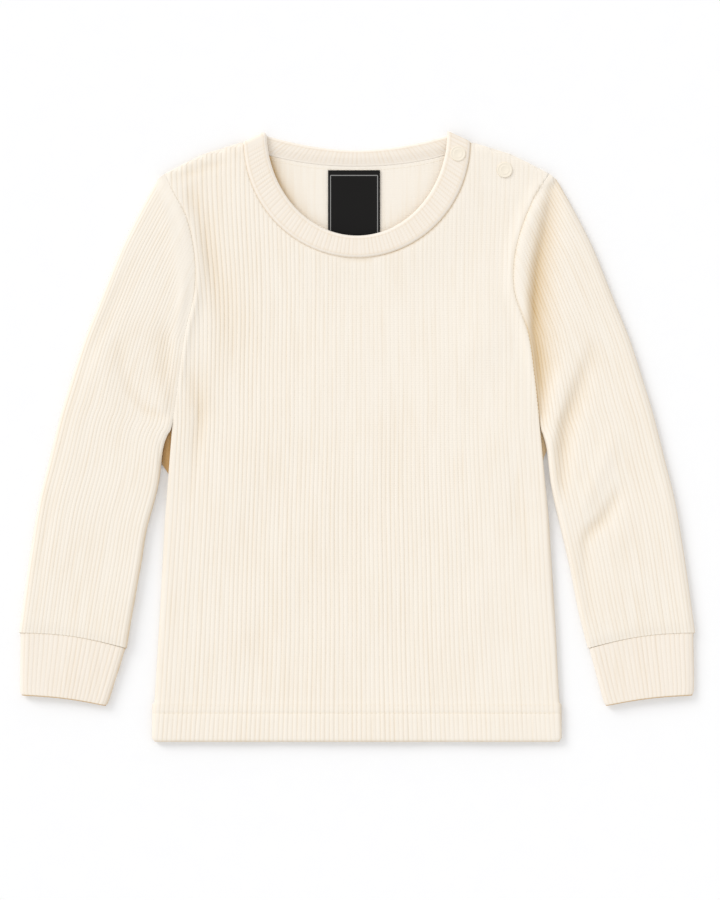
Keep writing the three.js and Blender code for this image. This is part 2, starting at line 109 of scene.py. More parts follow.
BAND_SEAM = {"half_width": 74.8, "depth": 76.6, "top_y": 194.4}
BAND_FREE = {"half_width": 59.6, "depth": 69.0, "top_y": 201.5}
BAND_BACK_SEAM = {"half_width": 74.8, "middle_y": 178.5, "rise": 12.65, "power": 2.2}
BAND_BACK_FREE = {"half_width": 59.4, "middle_y": 189.0, "rise": 9.57, "power": 1.8}
BAND_HALF_THICKNESS = 1.3
BAND_FRONT_Z = 5.2
BAND_RIB_HEIGHT = 0.13
BAND_EDGE_RIDGE = 0.07
BAND_FRONT_RIBS = 81
BAND_BACK_RIBS = 48

SLEEVE_RIBS = 30
SLEEVE_LEAST_PITCH = 2.05
SLEEVE_HEIGHT = 5.8
SLEEVE_EDGE_Z = 2.6
SLEEVE_EDGE_ROLL = 6.0
SLEEVE_HEAD_ROLL = 0.5
UNDER_INSET = 1.2
CUFF_RIBS = 22
CUFF_HEIGHT = 5.0
CUFF_EDGE_Z = 2.5

BODY_EDGE = [
    {"y": HEM_Y, "left": 133.6, "right": 133.4},
    {"y": HEM_Y + 2.6, "left": 135.4, "right": 135.1},
    {"y": HEM_TOP_Y, "left": 135.2, "right": 135.0},
    {"y": HEM_TOP_Y + 1.5, "left": 133.7, "right": 133.6},
    {"y": -120.0, "left": 130.3, "right": 130.8},
    {"y": -55.0, "left": 126.8, "right": 126.7},
    {"y": UNDERARM_Y, "left": 121.8, "right": 120.5},
    {"y": 40.6, "left": 117.5, "right": 117.0},
    {"y": 67.6, "left": 113.6, "right": 113.0},
    {"y": 98.5, "left": 106.9, "right": 103.6},
    {"y": 124.8, "left": 107.8, "right": 105.2},
    {"y": 148.9, "left": 114.2, "right": 113.0},
    {"y": 162.0, "left": 121.5, "right": 119.2},
    {"y": 173.3, "left": 127.0, "right": 127.0},
    {"y": 180.0, "left": 114.4, "right": 114.4},
    {"y": 186.5, "left": 101.0, "right": 101.0},
    {"y": 190.5, "left": 88.0, "right": 88.0},
    {"y": SHOULDER_TOP_Y, "left": 77.5, "right": 77.5},
]

SLEEVE_SECTIONS = [
    {"outer_x": 131.9, "outer_y": 169.5, "inner_y": 173.3, "bow": 0},
    {"outer_x": 132.6, "outer_y": 168.0, "inner_y": 162.0, "bow": 0},
    {"outer_x": 137.3, "outer_y": 160.0, "inner_y": 148.9, "bow": 0},
    {"outer_x": 145.9, "outer_y": 144.2, "inner_y": 124.8, "bow": 0},
    {"outer_x": 156.4, "outer_y": 123.0, "inner_y": 98.5, "bow": 0},
    {"outer_x": 169.6, "outer_y": 90.0, "inner_y": 67.6, "bow": 0},
    {"outer_x": 180.2, "outer_y": 63.7, "inner_y": 40.6, "bow": 0},
    {"outer_x": 190.9, "outer_y": 30.5, "inner_y": UNDERARM_Y, "bow": 0},
    {"outer_x": 193.9, "outer_y": 20.9, "inner_y": 0.5, "right": 122.9, "left": 125.2, "bow": 0},
    {"outer_x": 196.7, "outer_y": 10.9, "inner_y": -9.0, "right": 125.3, "left": 128.1, "bow": 0},
    {"outer_x": 203.3, "outer_y": -15.5, "inner_y": -33.0, "right": 128.2, "left": 131.2, "bow": 0.5},
    {"outer_x": 209.9, "outer_y": -41.9, "inner_y": -61.0, "right": 134.5, "left": 138.6, "bow": 1.0},
    {"outer_x": 214.5, "outer_y": -68.3, "inner_y": -87.0, "right": 140.6, "left": 142.9, "bow": 1.5},
    {"outer_x": 218.5, "outer_y": -94.7, "inner_y": -116.0, "right": 146.3, "left": 148.1, "bow": 2.0},
    {"outer_x": 223.3, "outer_y": -129.7, "inner_y": -139.8, "right": 152.4, "left": 152.0, "bow": 2.7},
]
LAST_ARMHOLE_SECTION = 7

CUFF_SECTIONS = [
    {"outer_x": 222.5, "outer_y": -129.73, "inner_y": -139.83, "right": 153.3, "left": 152.9, "bow": 2.7},
    {"outer_x": 222.2, "outer_y": -134.0, "inner_y": -144.2, "right": 154.5, "left": 154.2, "bow": 2.6},
    {"outer_x": 222.6, "outer_y": -165.0, "inner_y": -173.0, "right": 162.3, "left": 163.4, "bow": 1.6},
    {"outer_x": 221.4, "outer_y": -171.0, "inner_y": -177.9, "right": 164.4, "left": 166.0, "bow": 1.4},
]
print("body edge rows:", len(BODY_EDGE), "sleeve sections:", len(SLEEVE_SECTIONS))

# %% [markdown]
# ## Folds
# Cloth that is laid down by hand keeps a few soft folds. Each fold is a line of stations. A station
# has a place, how far the fold reaches to the west and to the east, and its height, where a trough
# is negative. The ends taper to nothing. They are listed: a deep trough beside the seam of
# the wearer's left armhole, slanting ones at both elbows, and soft long ones on the chest.

# %% Fold tables
BODY_FOLDS = [
    [
        (-113, 167, 3, 5, 0.0),
        (-109, 158, 4, 7, -0.7),
        (-102.5, 145, 4, 8, -1.0),
        (-99.2, 125, 4, 9, -1.1),
        (-95, 108, 5, 10, -1.1),
        (-90.4, 88, 6, 12, -0.9),
        (-84, 62, 9, 15, -0.6),
        (-80, 36, 10, 12, 0.0),
    ],
    [(-110, 48, 5, 6, 0.0), (-106.9, 35, 5, 7, -0.6), (-103.6, 15.5, 4, 7, -1.2), (-105.8, 0, 4, 6, -1.0)]
    + [(-108.2, -26.5, 3, 4, -0.5), (-110, -48, 3, 3, 0.0)],
    [(-125, 168, 3, 3, 0.0), (-112, 173.5, 3, 3, -0.6), (-95, 179, 3, 3, -0.6), (-82, 182.5, 3, 3, 0.0)],
    [(-83, 192, 1.5, 1.5, 0.0), (-79, 187, 1.5, 1.5, -0.5), (-76, 178, 1.5, 1.5, 0.0)],
    [(76, 92, 12, 12, 0.0), (84, 62, 14, 14, 0.8), (88, 36, 14, 14, 0.0)],
    [(82, -80, 9, 9, 0.0), (79, -110, 9, 9, 0.4), (86, -160, 9, 9, 0.0)],
    [(62, -40, 9, 9, 0.0), (58, -82, 10, 10, 0.35), (50, -126, 10, 10, 0.0)],
    [(-60, -100, 9, 9, 0.0), (-66, -140, 9, 9, -0.3), (-70, -172, 9, 9, 0.0)],
    [(102, -6, 6, 6, 0.0), (107, -50, 6, 6, -0.45), (113, -104, 6, 6, 0.0)],
    [(-16, 76, 14, 14, 0.0), (-22, 36, 15, 15, 0.35), (-28, -10, 14, 14, 0.0)],
    [(30, 34, 13, 13, 0.0), (26, -10, 13, 13, -0.3), (18, -60, 13, 13, 0.0)],
]
SLEEVE_FOLDS = [
    [
        (131, 171, 3, 4, 0.0),
        (129.6, 162.7, 3.5, 7, -1.6),
        (124.1, 136.3, 4, 9, -2.8),
        (119.4, 114.5, 3.5, 11, -3.5),
        (117.2, 92.3, 3, 12.5, -3.8),
        (117, 70.3, 3, 13, -3.8),
        (119.7, 48.3, 3, 12, -3.8),
        (121, 35, 3.5, 10, -3.6),
        (121.8, 15.5, 4, 8, -2.9),
        (124, -6, 3, 4, 0.0),
    ],
    [(140, 54, 5, 5, 0.0), (131.8, 33, 5, 6, 0.7), (126, 11, 3, 6, 0.8)]
    + [(128, -6, 3, 4, 0.5), (130, -30, 3, 3, 0.0)],
    [
        (157.5, 66, 4, 5, 0.0),
        (151.6, 46, 4.5, 6.5, -0.9),
        (143.9, 24, 5, 7, -1.7),
        (138.4, 9, 5, 7, -2.1),
        (136.2, -9, 4.5, 6.5, -2.1),
        (135.8, -28.7, 3.5, 5, -1.2),
        (135.1, -48, 3, 4, 0.0),
    ],
    [(172, 8, 6, 6, 0.0), (165, -12, 6, 6, 0.6), (152, -41, 6, 6, 0.7), (145, -58, 5, 5, 0.0)],
    [
        (176, -28, 4, 4, 0.0),
        (171.4, -39.7, 4, 5, -0.7),
        (162.5, -55, 4, 5, -1.3),
        (154.9, -61.7, 4, 5, -1.3),
        (150.5, -70, 3.5, 5, -0.9),
        (150.5, -90, 3.5, 5, -0.6),
        (153.8, -112, 3, 5, -0.3),
        (153, -126, 3, 4, 0.0),
    ],
    [(184, -36, 7, 7, 0.0), (176, -62, 7, 7, 0.45), (162, -86, 6, 6, 0.0)],
    [(-131, 161, 4, 4, 0.0), (-125.6, 145, 6, 4, 0.6), (-119, 130, 6, 4, 0.8), (-116, 110, 6, 4, 0.8)]
    + [(-114, 85, 5, 3.5, 0.7), (-115, 70, 4, 3, 0.5), (-118, 48, 3, 3, 0.0)],
    [(-126, 80, 5, 5, 0.0), (-125.6, 62, 7, 5, -0.8), (-124.7, 44, 7, 4, -1.0), (-122.3, 26, 4, 3, -0.7)]
    + [(-122, 14, 3, 3, 0.0)],
    [(-157, 68, 3, 3, 0.0), (-156.4, 59, 3, 4, -0.25), (-154.4, 44, 3, 5, -0.4), (-149.8, 31, 3, 5, -0.6)]
    + [(-138.8, 17.5, 3, 4, -0.8), (-128, 13, 3, 3, -0.5), (-123, 12, 3, 3, 0.0)],
    [(-129.5, 2, 1, 1, 0.0), (-130.4, -8, 1.3, 1.2, -0.45)]
    + [(-130.2, -18, 1.3, 1.2, -0.45), (-129, -27, 1, 1, 0.0)],
    [(-168, 74, 8, 6, 0.0), (-167, 45, 10, 7, 0.6), (-160, 15, 9, 8, 0.4), (-150, -8, 8, 8, 0.0)],
    [(-146, 118, 5, 5, 0.0), (-158, 92, 5, 5, -0.45), (-178, 52, 5, 5, -0.5), (-190, 22, 5, 5, -0.5)]
    + [(-203, -40, 5, 5, -0.45), (-210, -90, 5, 5, -0.3), (-211, -120, 4, 4, 0.0)],
]
print("folds:", len(BODY_FOLDS) + len(SLEEVE_FOLDS))


# %% [markdown]
# ## Small tools
# The heights of the cloth are worked out for whole arrays of points at once, which is quick. A fold
# is a bell curve across its line. A round edge is a quarter of a circle. A curve through a table is
# a cubic between each two rows, with slopes taken from their neighbours.

# %% Curves and heights
def smoothstep(start, end, value):
    share = np.clip((value - start) / (end - start), 0, 1)
    return share * share * (3 - 2 * share)


def quarter_round(distance, reach):
    share = np.clip(distance / reach, 0, 1)
    return np.sqrt(1 - (1 - share) ** 2)


def mix(low, high, share):
    return low + (high - low) * share


def curve_through(knots, values, at):
    knots = np.asarray(knots, float)
    values = np.asarray(values, float)
    slopes = np.gradient(values, knots)
    at = np.clip(at, knots[0], knots[-1])
    index = np.clip(np.searchsorted(knots, at, side="right") - 1, 0, len(knots) - 2)
    span = knots[index + 1] - knots[index]
    share = (at - knots[index]) / span
    start = values[index] * (1 + 2 * share) * (1 - share) ** 2
    end = values[index + 1] * share**2 * (3 - 2 * share)
    leaving = slopes[index] * span * share * (1 - share) ** 2
    arriving = slopes[index + 1] * span * share**2 * (share - 1)
    return start + end + leaving + arriving


def fold_height(folds, x, y):
    """The deepest trough and the highest ridge at each point, added together."""
    trough = np.zeros(np.broadcast(x, y).shape)
    ridge = np.zeros_like(trough)
    for fold in folds:
        for (x1, y1, west1, east1, height1), (x2, y2, west2, east2, height2) in zip(fold, fold[1:]):
            run = (x - x1) * (x2 - x1) + (y - y1) * (y2 - y1)
            share = np.clip(run / ((x2 - x1) ** 2 + (y2 - y1) ** 2), 0, 1)
            away_x = x - mix(x1, x2, share)
            away = np.hypot(away_x, y - mix(y1, y2, share))
            reach = np.where(away_x > 0, mix(east1, east2, share), mix(west1, west2, share))
            height = mix(height1, height2, share) * np.exp(-((away / reach) ** 2))
            trough = np.minimum(trough, height)
            ridge = np.maximum(ridge, height)
    return trough + ridge


def slack(x, y):
    """Low waves of cloth that isn't stretched, a few tenths of a millimetre high."""
    waves = 0.12 * np.sin(x / 9.1 + 1.3) * np.sin(y / 23 + 0.4)
    waves = waves + 0.10 * np.sin((x + 0.6 * y) / 17 + 2.1)
    return waves + 0.07 * np.sin((x - 0.8 * y) / 12.3)


def sway(x, y):
    """How far a rib wanders sideways."""
    return 0.4 * np.sin(y / 41 + x / 60) + 0.22 * np.sin(y / 19 - x / 35 + 1)


# %% [markdown]
# ## Ribs
# A rib knit has columns of stitches that stand out, with narrow furrows between them. Each rib gets
# six columns of points, close together at the furrow and wide apart on the round back. No two ribs
# pull quite alike, so each has its own strength. How open the cloth lies is kept as an attribute,
# from 0 deep in a furrow or a fold to 1 on top, and it paints shade into the colour: the hollows are
# made warmer and darker, as light that bounces in cream cotton would make them.

# %% The profile of one rib
RIB_STEPS = np.array([0, 0.1, 0.26, 0.5, 0.74, 0.9])
COLUMNS_A_RIB = len(RIB_STEPS)
WEAKEST_RIB = 0.7
STRONGEST_RIB = 1.2


def rib_columns(ribs, seed):
    """The columns' places, counted in ribs, how far each stands out, and its rib's strength."""
    places = np.append((np.arange(ribs)[:, None] + RIB_STEPS).ravel(), ribs)
    swell = np.abs(np.sin(np.pi * places)) ** 0.55
    of_ribs = np.random.default_rng(seed).uniform(WEAKEST_RIB, STRONGEST_RIB, ribs)
    return places, swell, np.append(np.repeat(of_ribs, COLUMNS_A_RIB), of_ribs[-1])


# Painted shade: how much a rib's furrow darkens and warms the colour, and the fold depth at which a trough's
# painted shade is full.
FURROW_SHADE = 0.2
DEEPEST_FOLD = 4.3


def painted_light_level(swell, strength, fade, fold):
    """The painted light level: 1 on top of the cloth, less in a furrow and in a trough, where shade is
    painted.
    """
    furrow = (1 - swell) * np.clip(strength, 0, 1.2) * fade
    depth = np.clip(-fold / DEEPEST_FOLD, 0, 1)
    painted_hollow_shade = 0.6 * depth + 0.4 * depth**4
    return np.clip(1 - FURROW_SHADE * furrow - painted_hollow_shade, 0, 1)


print("columns on one half of the front:", len(rib_columns(BODY_RIBS_A_SIDE, 1)[0]))


# %% [markdown]
# ## A wall of cloth
# Every piece of cloth is a closed wall: an outer surface with fine columns, a plain inner surface
# with one column for each rib, and narrow strips that close its edges. Both are grids of rows, and
# where a row is short its spare columns lie on its end and are merged away.

# %% Build a wall from two grids
# The inside of every wall gets this fixed painted light level, a little painted shade.
INSIDE_PAINTED_LIGHT = 0.8


def wall_faces(outer_shape, inner_shape, first_closed, last_closed):
    rows, columns = outer_shape
    inner_columns = inner_shape[1]
    step = (columns - 1) // (inner_columns - 1)
    outer = np.arange(rows * columns).reshape(rows, columns)
    inner = rows * columns + np.arange(rows * inner_columns).reshape(rows, inner_columns)
    faces = []
    for grid, turned in ((outer, False), (inner, True)):
        quads = np.stack([grid[:-1, :-1], grid[:-1, 1:], grid[1:, 1:], grid[1:, :-1]], axis=-1)
        quads = quads.reshape(-1, 4)
        faces += (quads[:, ::-1] if turned else quads).tolist()
    for row in range(1, rows):
        if first_closed[row]:
            faces.append([outer[row - 1, 0], outer[row, 0], inner[row, 0], inner[row - 1, 0]])
        if last_closed[row]:
            faces.append([outer[row, -1], outer[row - 1, -1], inner[row - 1, -1], inner[row, -1]])
    for j in range(inner_columns - 1):
        low = list(outer[0, j * step : (j + 1) * step + 1])
        faces.append(low[::-1] + [inner[0, j], inner[0, j + 1]])
        high = list(outer[-1, j * step : (j + 1) * step + 1])
        faces.append(high + [inner[-1, j + 1], inner[-1, j]])
    return faces


def cloth_object(name, walls):
    """Makes one object from walls, each given as its two grids, painted light level, pattern places and
    faces.
    """
    points, faces, painted_lights, pattern = [], [], [], []
    start = 0
    for wall in walls:
        outer, inner = wall["outer"], wall["inner"]
        step = (outer.shape[1] - 1) // (inner.shape[1] - 1)
        both = np.concatenate([outer.reshape(-1, 3), inner.reshape(-1, 3)])
        points.append(both)
        faces += [[start + int(corner) for corner in face] for face in wall["faces"]]
        inside_painted_lights = np.full(inner.shape[0] * inner.shape[1], INSIDE_PAINTED_LIGHT)
        painted_lights.append(np.concatenate([wall["open"].ravel(), inside_painted_lights]))
        places = wall["pattern"]
        pattern.append(np.concatenate([places.reshape(-1, 2), places[:, ::step].reshape(-1, 2)]))
        start += len(both)
    mesh = bpy.data.meshes.new(name)
    mesh.from_pydata((np.concatenate(points) * MM).tolist(), [], faces)
    # The painted light level is stored as the point attribute open, which the cloth's colour turns into
    # painted shade.
    painted_light = mesh.attributes.new("open", "FLOAT", "POINT")
    painted_light.data.foreach_set("value", np.concatenate(painted_lights).astype(np.float32))
    uv = mesh.uv_layers.new(name="knit")
    corners = np.empty(len(mesh.loops), dtype=np.int32)
    mesh.loops.foreach_get("vertex_index", corners)
    uv.data.foreach_set("uv", (np.concatenate(pattern)[corners] * MM).astype(np.float32).ravel())
    shape = bmesh.new()
    shape.from_mesh(mesh)
    bmesh.ops.remove_doubles(shape, verts=shape.verts, dist=0.002 * MM)
    bmesh.ops.dissolve_degenerate(shape, edges=shape.edges, dist=0.0005 * MM)
    volume = shape.calc_volume(signed=True)
    if volume < 0:
        bmesh.ops.reverse_faces(shape, faces=shape.faces)
    open_edges = sum(1 for edge in shape.edges if len(edge.link_faces) != 2)
    shape.to_mesh(mesh)
    shape.free()
    mesh.polygons.foreach_set("use_smooth", np.ones(len(mesh.polygons), dtype=bool))
    piece = bpy.data.objects.new(name, mesh)
    bpy.context.scene.collection.objects.link(piece)
    triangles = sum(len(face.vertices) - 2 for face in mesh.polygons)
    print(name, "triangles:", triangles, "open edges:", open_edges, "cm3:", round(abs(volume) * 1e6, 1))
    return piece


# %% [markdown]
# ## Front and back panels
# A panel is cut from flat cloth with its ribs running up and down. Each row runs from the side edge
# to the middle, or to the neck hole where there is one. The ribs stand upright on the chest, spread
# with the body towards the hem and lean out a little towards the shoulders, where the cloth is
# pulled. The hem is turned up and stitched, so it is thicker and has a shallow furrow on its line.

# %% Shapes of the panels
def body_edge(side, y):
    name = "left" if side < 0 else "right"
    knots = [row["y"] for row in BODY_EDGE]
    straight = np.interp(y, knots, [row[name] for row in BODY_EDGE])
    armhole = [row for row in BODY_EDGE if UNDERARM_Y <= row["y"] <= 173.3]
    curved = curve_through([row["y"] for row in armhole], [row[name] for row in armhole], y)
    inside = (y >= UNDERARM_Y) & (y <= 173.3)
    return np.where(inside, curved, straight)


def front_neck_half(y):
    depth = np.clip((BAND_SEAM["top_y"] - y) / (BAND_SEAM["depth"] + SEAM_GAP), 0, 1)
    return (BAND_SEAM["half_width"] + SEAM_GAP) * np.sqrt(1 - depth**2)


def back_neck_half(y):
    rise = np.clip((y + SEAM_GAP - BAND_BACK_SEAM["middle_y"]) / BAND_BACK_SEAM["rise"], 0, 1)
    return (BAND_BACK_SEAM["half_width"] + SEAM_GAP) * rise ** (1 / BAND_BACK_SEAM["power"])


SEAM_LIP = 0.25


def side_height(y):
    """How high the panel's edge stands, from the hem up the side and round the armhole."""
    low = mix(SIDE_EDGE_HEIGHT, UNDERARM_EDGE_HEIGHT, smoothstep(-110, -10, y))
    beside = mix(low, ARMHOLE_EDGE_HEIGHT, smoothstep(UNDERARM_Y, 60, y))
    return mix(beside, SHOULDER_EDGE_HEIGHT, smoothstep(162, 178, y))


def from_front_neck(x, y):
    around = np.hypot(x / BAND_SEAM["half_width"], (BAND_SEAM["top_y"] - y) / BAND_SEAM["depth"])
    return np.maximum(0, (around - 1) * BAND_SEAM["half_width"] - SEAM_GAP)


def from_back_neck(x, y):
    rise = np.abs(x / BAND_BACK_SEAM["half_width"]) ** BAND_BACK_SEAM["power"]
    return np.maximum(0, BAND_BACK_SEAM["middle_y"] + BAND_BACK_SEAM["rise"] * rise - y - SEAM_GAP)


def front_height(x, y, from_edge):
    edge = side_height(y)
    at_shoulder = smoothstep(162, 178, y)
    on_armhole = smoothstep(UNDERARM_Y, 60, y) * (1 - at_shoulder)
    neck = NECK_LIFT * np.exp(-((from_front_neck(x, y) / NECK_LIFT_REACH) ** 2))
    hem = HEM_LIFT * (1 - smoothstep(HEM_TOP_Y - 0.5, HEM_TOP_Y + 2.5, y))
    inside = BODY_HEIGHT + neck + fold_height(BODY_FOLDS, x, y) + slack(x, y)
    low_right_arm = (x < 0) * (1 - smoothstep(80, 110, y))
    lip = SEAM_LIP * (1 + low_right_arm) * on_armhole * np.exp(-(((from_edge - 2.2) / 1.6) ** 2))
    blend = mix(quarter_round(from_edge, EDGE_ROLL), smoothstep(0, 10, from_edge), on_armhole)
    return hem + lip + mix(edge, inside, blend)


SHOULDER_LEAN = {-1: 13.0, 1: 5.0}
COLUMN_SNAP = 0.12
HEM_HALF = 134.4


def panel_rows(side, rows_y, neck_half, places, edge_of):
    """Half widths of all points of half a panel, with their distances from its side."""
    y = rows_y[:, None]
    edge = edge_of(side, y)
    neck = neck_half(y)
    fan = mix(UNDERARM_HALF, HEM_HALF, np.clip((UNDERARM_Y - y) / (UNDERARM_Y - HEM_Y), 0, 1))
    upright = fan * (1 - places / places[-1])
    lean = SHOULDER_LEAN[side] * smoothstep(70, 178, y) * (upright / UNDERARM_HALF) ** 3
    loose = np.clip((edge - upright) / 10, 0, 1) * np.clip(upright / 10, 0, 1)
    half = np.clip(upright + lean + side * sway(side * upright, y) * loose, neck, edge)
    half = np.where(edge - half < COLUMN_SNAP, edge, half)
    half = np.where(half - neck < COLUMN_SNAP, neck, half)
    half[:, 0] = edge[:, 0]
    half[:, -1] = neck[:, 0]
    return half, np.broadcast_to(y, half.shape), edge - half


def panel_wall(side, rows_y, neck_half, places, outer_height, inner_height, edge_of=body_edge):
    half, y, from_edge = panel_rows(side, rows_y, neck_half, places, edge_of)
    top, painted_light = outer_height(side * half, y, from_edge)
    outer = np.stack([side * half, y, top], axis=-1)
    few = places[::COLUMNS_A_RIB]
    half_few, y_few, from_edge_few = panel_rows(side, rows_y, neck_half, few, edge_of)
    inner_z = inner_height(side * half_few, y_few, from_edge_few)
    inner = np.stack([side * half_few, y_few, inner_z], axis=-1)
    pattern = np.stack([side * half, y], axis=-1)
    at_side = np.ones(len(rows_y), bool)
    at_neck = neck_half(rows_y) > 0
    if side > 0:
        outer, inner, painted_light, pattern = (grid[:, ::-1] for grid in (outer, inner, painted_light, pattern))
        at_side, at_neck = at_neck, at_side
    faces = wall_faces(outer.shape[:2], inner.shape[:2], at_side, at_neck)
    return {"outer": outer, "inner": inner, "open": painted_light, "pattern": pattern, "faces": faces}


ROW_STEP = 2.9
HEM_ROWS = [0, 0.25, 0.6, 1.1, 1.8, 2.6]
hem_rows = HEM_Y + np.array(HEM_ROWS)
stitch_rows = HEM_STITCH_Y + np.array([-1.0, -0.5, 0, 0.5, 1.0])
step_rows = HEM_TOP_Y + np.array([0, 0.5, 1.0, 1.5])
plain_rows = np.arange(HEM_TOP_Y + 4, 115, ROW_STEP)
between_rows = np.arange(HEM_Y + 5.5, HEM_STITCH_Y - 2, ROW_STEP)
low_rows = np.concatenate([hem_rows, between_rows, stitch_rows, [-179.5], step_rows, plain_rows])

neck_angles = np.radians(np.arange(0, 84, 3))
front_neck_rows = BAND_SEAM["top_y"] - (BAND_SEAM["depth"] + SEAM_GAP) * np.cos(neck_angles)
shoulder_corners = [row["y"] for row in BODY_EDGE if row["y"] > 170]
front_rows = np.union1d(np.concatenate([low_rows, front_neck_rows]), shoulder_corners)

back_neck_shares = np.linspace(0, 1, 22)
back_neck_rows = BAND_BACK_SEAM["middle_y"] - SEAM_GAP
back_neck_rows = back_neck_rows + BAND_BACK_SEAM["rise"] * back_neck_shares ** BAND_BACK_SEAM["power"]
upper_rows = np.arange(117, 177, 3.4)
back_rows = np.union1d(np.concatenate([low_rows, upper_rows, back_neck_rows]), shoulder_corners)
print("rows on the front:", len(front_rows), "on the back:", len(back_rows))

# %% [markdown]
# The front's outer surface carries the full ribs. The underlayer of the shoulder opening shows
# through as a faint step about 20 mm below the shoulder line, so a very low ridge follows it.

# %% Make the front panel
front_places, front_swell, front_strength = rib_columns(BODY_RIBS_A_SIDE, 11)
UNDERLAY = [[(70, 171, 2, 2, 0.0), (83, 163, 2, 2, 0.3), (106, 160, 2, 2, 0.3), (117, 158.5, 2, 2, 0.0)]]
# Strength of the painted shade at edges and seams, given as a fold depth.
EDGE_PAINTED_SHADE = 2.2
STITCH_FURROWS = ((HEM_STITCH_Y, 0.25), (HEM_TOP_Y, 0.1))
CHEST_CALM = 0.15


def painted_edge_shade_weight(side, y):
    """How strong the painted shade beside a seam and an edge is: little on the wearer's right, the side
    towards the light, below about 90 mm, more above it and on the wearer's left, and none at the shoulder.
    """
    right_arm = mix(0.15, 0.5, smoothstep(80, 100, y))
    return np.where(side < 0, right_arm, 0.8) * (1 - smoothstep(160, 172, y))


def front_outside(x, y, from_edge):
    from_neck = from_front_neck(x, y)
    fade = np.clip(np.minimum(from_edge, from_neck) / 2.0, 0, 1)
    furrow = sum(depth * np.exp(-(((y - line_y) / 0.6) ** 2)) for line_y, depth in STITCH_FURROWS)
    rounded = 1.3 * (1 - quarter_round(y - HEM_Y, 2.6))
    edge_reach = mix(1.1, 0.8, smoothstep(-10, 10, y))
    # Painted shade along the side and armhole edges and along the neck seam, stronger towards the wearer's
    # left, away from the light.
    at_side = painted_edge_shade_weight(np.sign(x), y) * np.exp(-((from_edge / edge_reach) ** 2))
    at_neck = mix(0.3, 1.3, smoothstep(-30, 40, x)) * np.exp(-((from_neck / 0.7) ** 2))
    # With the hem's bottom edge, these edges get painted shade, darker and warmer.
    painted_edge_shade = EDGE_PAINTED_SHADE * (np.exp(-(((y - HEM_Y) / 1.0) ** 2)) + at_side + at_neck)
    fold = fold_height(BODY_FOLDS, x, y)
    calm = 1 - CHEST_CALM * np.exp(-((x / 60) ** 2 + ((y - 40) / 90) ** 2))
    chest = mix(1.3, 0.5, smoothstep(-110, 75, x))
    belly = mix(1.05, 0.75, smoothstep(20, 110, x)) + 0.15 * np.exp(-((x / 40) ** 2))
    calm = calm * mix(belly, chest, smoothstep(-40, 40, y))
    strength = front_strength * (calm + 0.5 * np.clip(-fold, 0, 1)) * smoothstep(HEM_Y - 0.5, HEM_Y + 1.5, y)
    height = front_height(x, y, from_edge) + fold_height(UNDERLAY, x, y)
    relief = RIB_HEIGHT * strength * front_swell * fade
    # The folds and the hem's stitch furrows also get painted shade, on top of their real dip.
    shade = painted_light_level(front_swell, strength, fade, fold - 1.2 * furrow - painted_edge_shade)
    return height + relief - furrow - rounded, shade


def front_inside(x, y, from_edge):
    return np.maximum(BACK_WALL + LAYER_GAP, front_height(x, y, from_edge) - WALL)


front = cloth_object(
    "front_knit",
    [
        panel_wall(side, front_rows, front_neck_half, front_places, front_outside, front_inside)
        for side in (-1, 1)
    ],
)

# %% [markdown]
# The back lies on the table with its right side down, so what shows of it is the inside of the knit
# in the neck: nearly smooth, with faint ribs. Its underside rests flat on the table.

# %% Make the back panel
BACK_RIBS = 44
INSIDE_RIB = 0.02
back_places, back_swell, back_strength = rib_columns(BACK_RIBS, 12)


# This strip of the back shows in the gap below each underarm, and its colour gets painted shade below.
UNDERARM_WEB = {-1: 5.9, 1: 3.6}
WEB_FOOT_Y = {-1: -21.0, 1: -12.0}


def body_edge_back(side, y):
    """The back reaches a little further out than the front just below the underarm seam."""
    foot = WEB_FOOT_Y[side]
    web = smoothstep(foot - 5, foot + 5, y) * (1 - smoothstep(UNDERARM_Y - 5, UNDERARM_Y, y))
    return body_edge(side, y) + UNDERARM_WEB[side] * web


def back_inside(x, y, from_edge):
    seen = smoothstep(108, 120, y) * np.clip(np.minimum(from_edge, from_back_neck(x, y)) / 1.5, 0, 1)
    top_y = BAND_FREE["top_y"]
    around = np.hypot(x / BAND_FREE["half_width"], (top_y - y) / BAND_FREE["depth"])
    inside_band = np.maximum(0, 1 - around) * BAND_FREE["half_width"]
    # Painted shade on the back's inside: just inside the neckband's free edge, strongest at the upper left
    # where the band shades it, and on the strip of back below each underarm.
    upper_left = smoothstep(10, 50, -x) * smoothstep(120, 175, y)
    painted_band_shadow = np.exp(-inside_band / 4) * (0.3 + 1.4 * upper_left)
    painted_web_shade = smoothstep(-50, -40, y) * (1 - smoothstep(UNDERARM_Y, 14, y)) * (from_edge < 10)
    painted_hollow_shade = -2.6 * painted_band_shadow - np.where(x < 0, 5, 3) * painted_web_shade
    relief = INSIDE_RIB * (1 - back_swell) * seen * back_strength
    return BACK_WALL - relief, painted_light_level(back_swell, 0.12 * back_strength, seen, painted_hollow_shade)


def back_underside(x, y, from_edge):
    return 0.9 * (1 - quarter_round(from_edge, 2.0))


back = cloth_object(
    "back_knit",
    [
        panel_wall(side, back_rows, back_neck_half, back_places, back_inside, back_underside, body_edge_back)
        for side in (-1, 1)
    ],
)


# %% [markdown]
# ## Sleeves and cuffs
# A sleeve is one piece of cloth folded along its outer edge, so laid flat it is a low tube. Above
# the underarm its inner end is open at the armhole, where the seam makes the head of the sleeve
# stand up in a smooth roll. Below the underarm the ring of cloth is closed. The ribs run along the
# outer edge, and the ones near the armhole end at the roll.

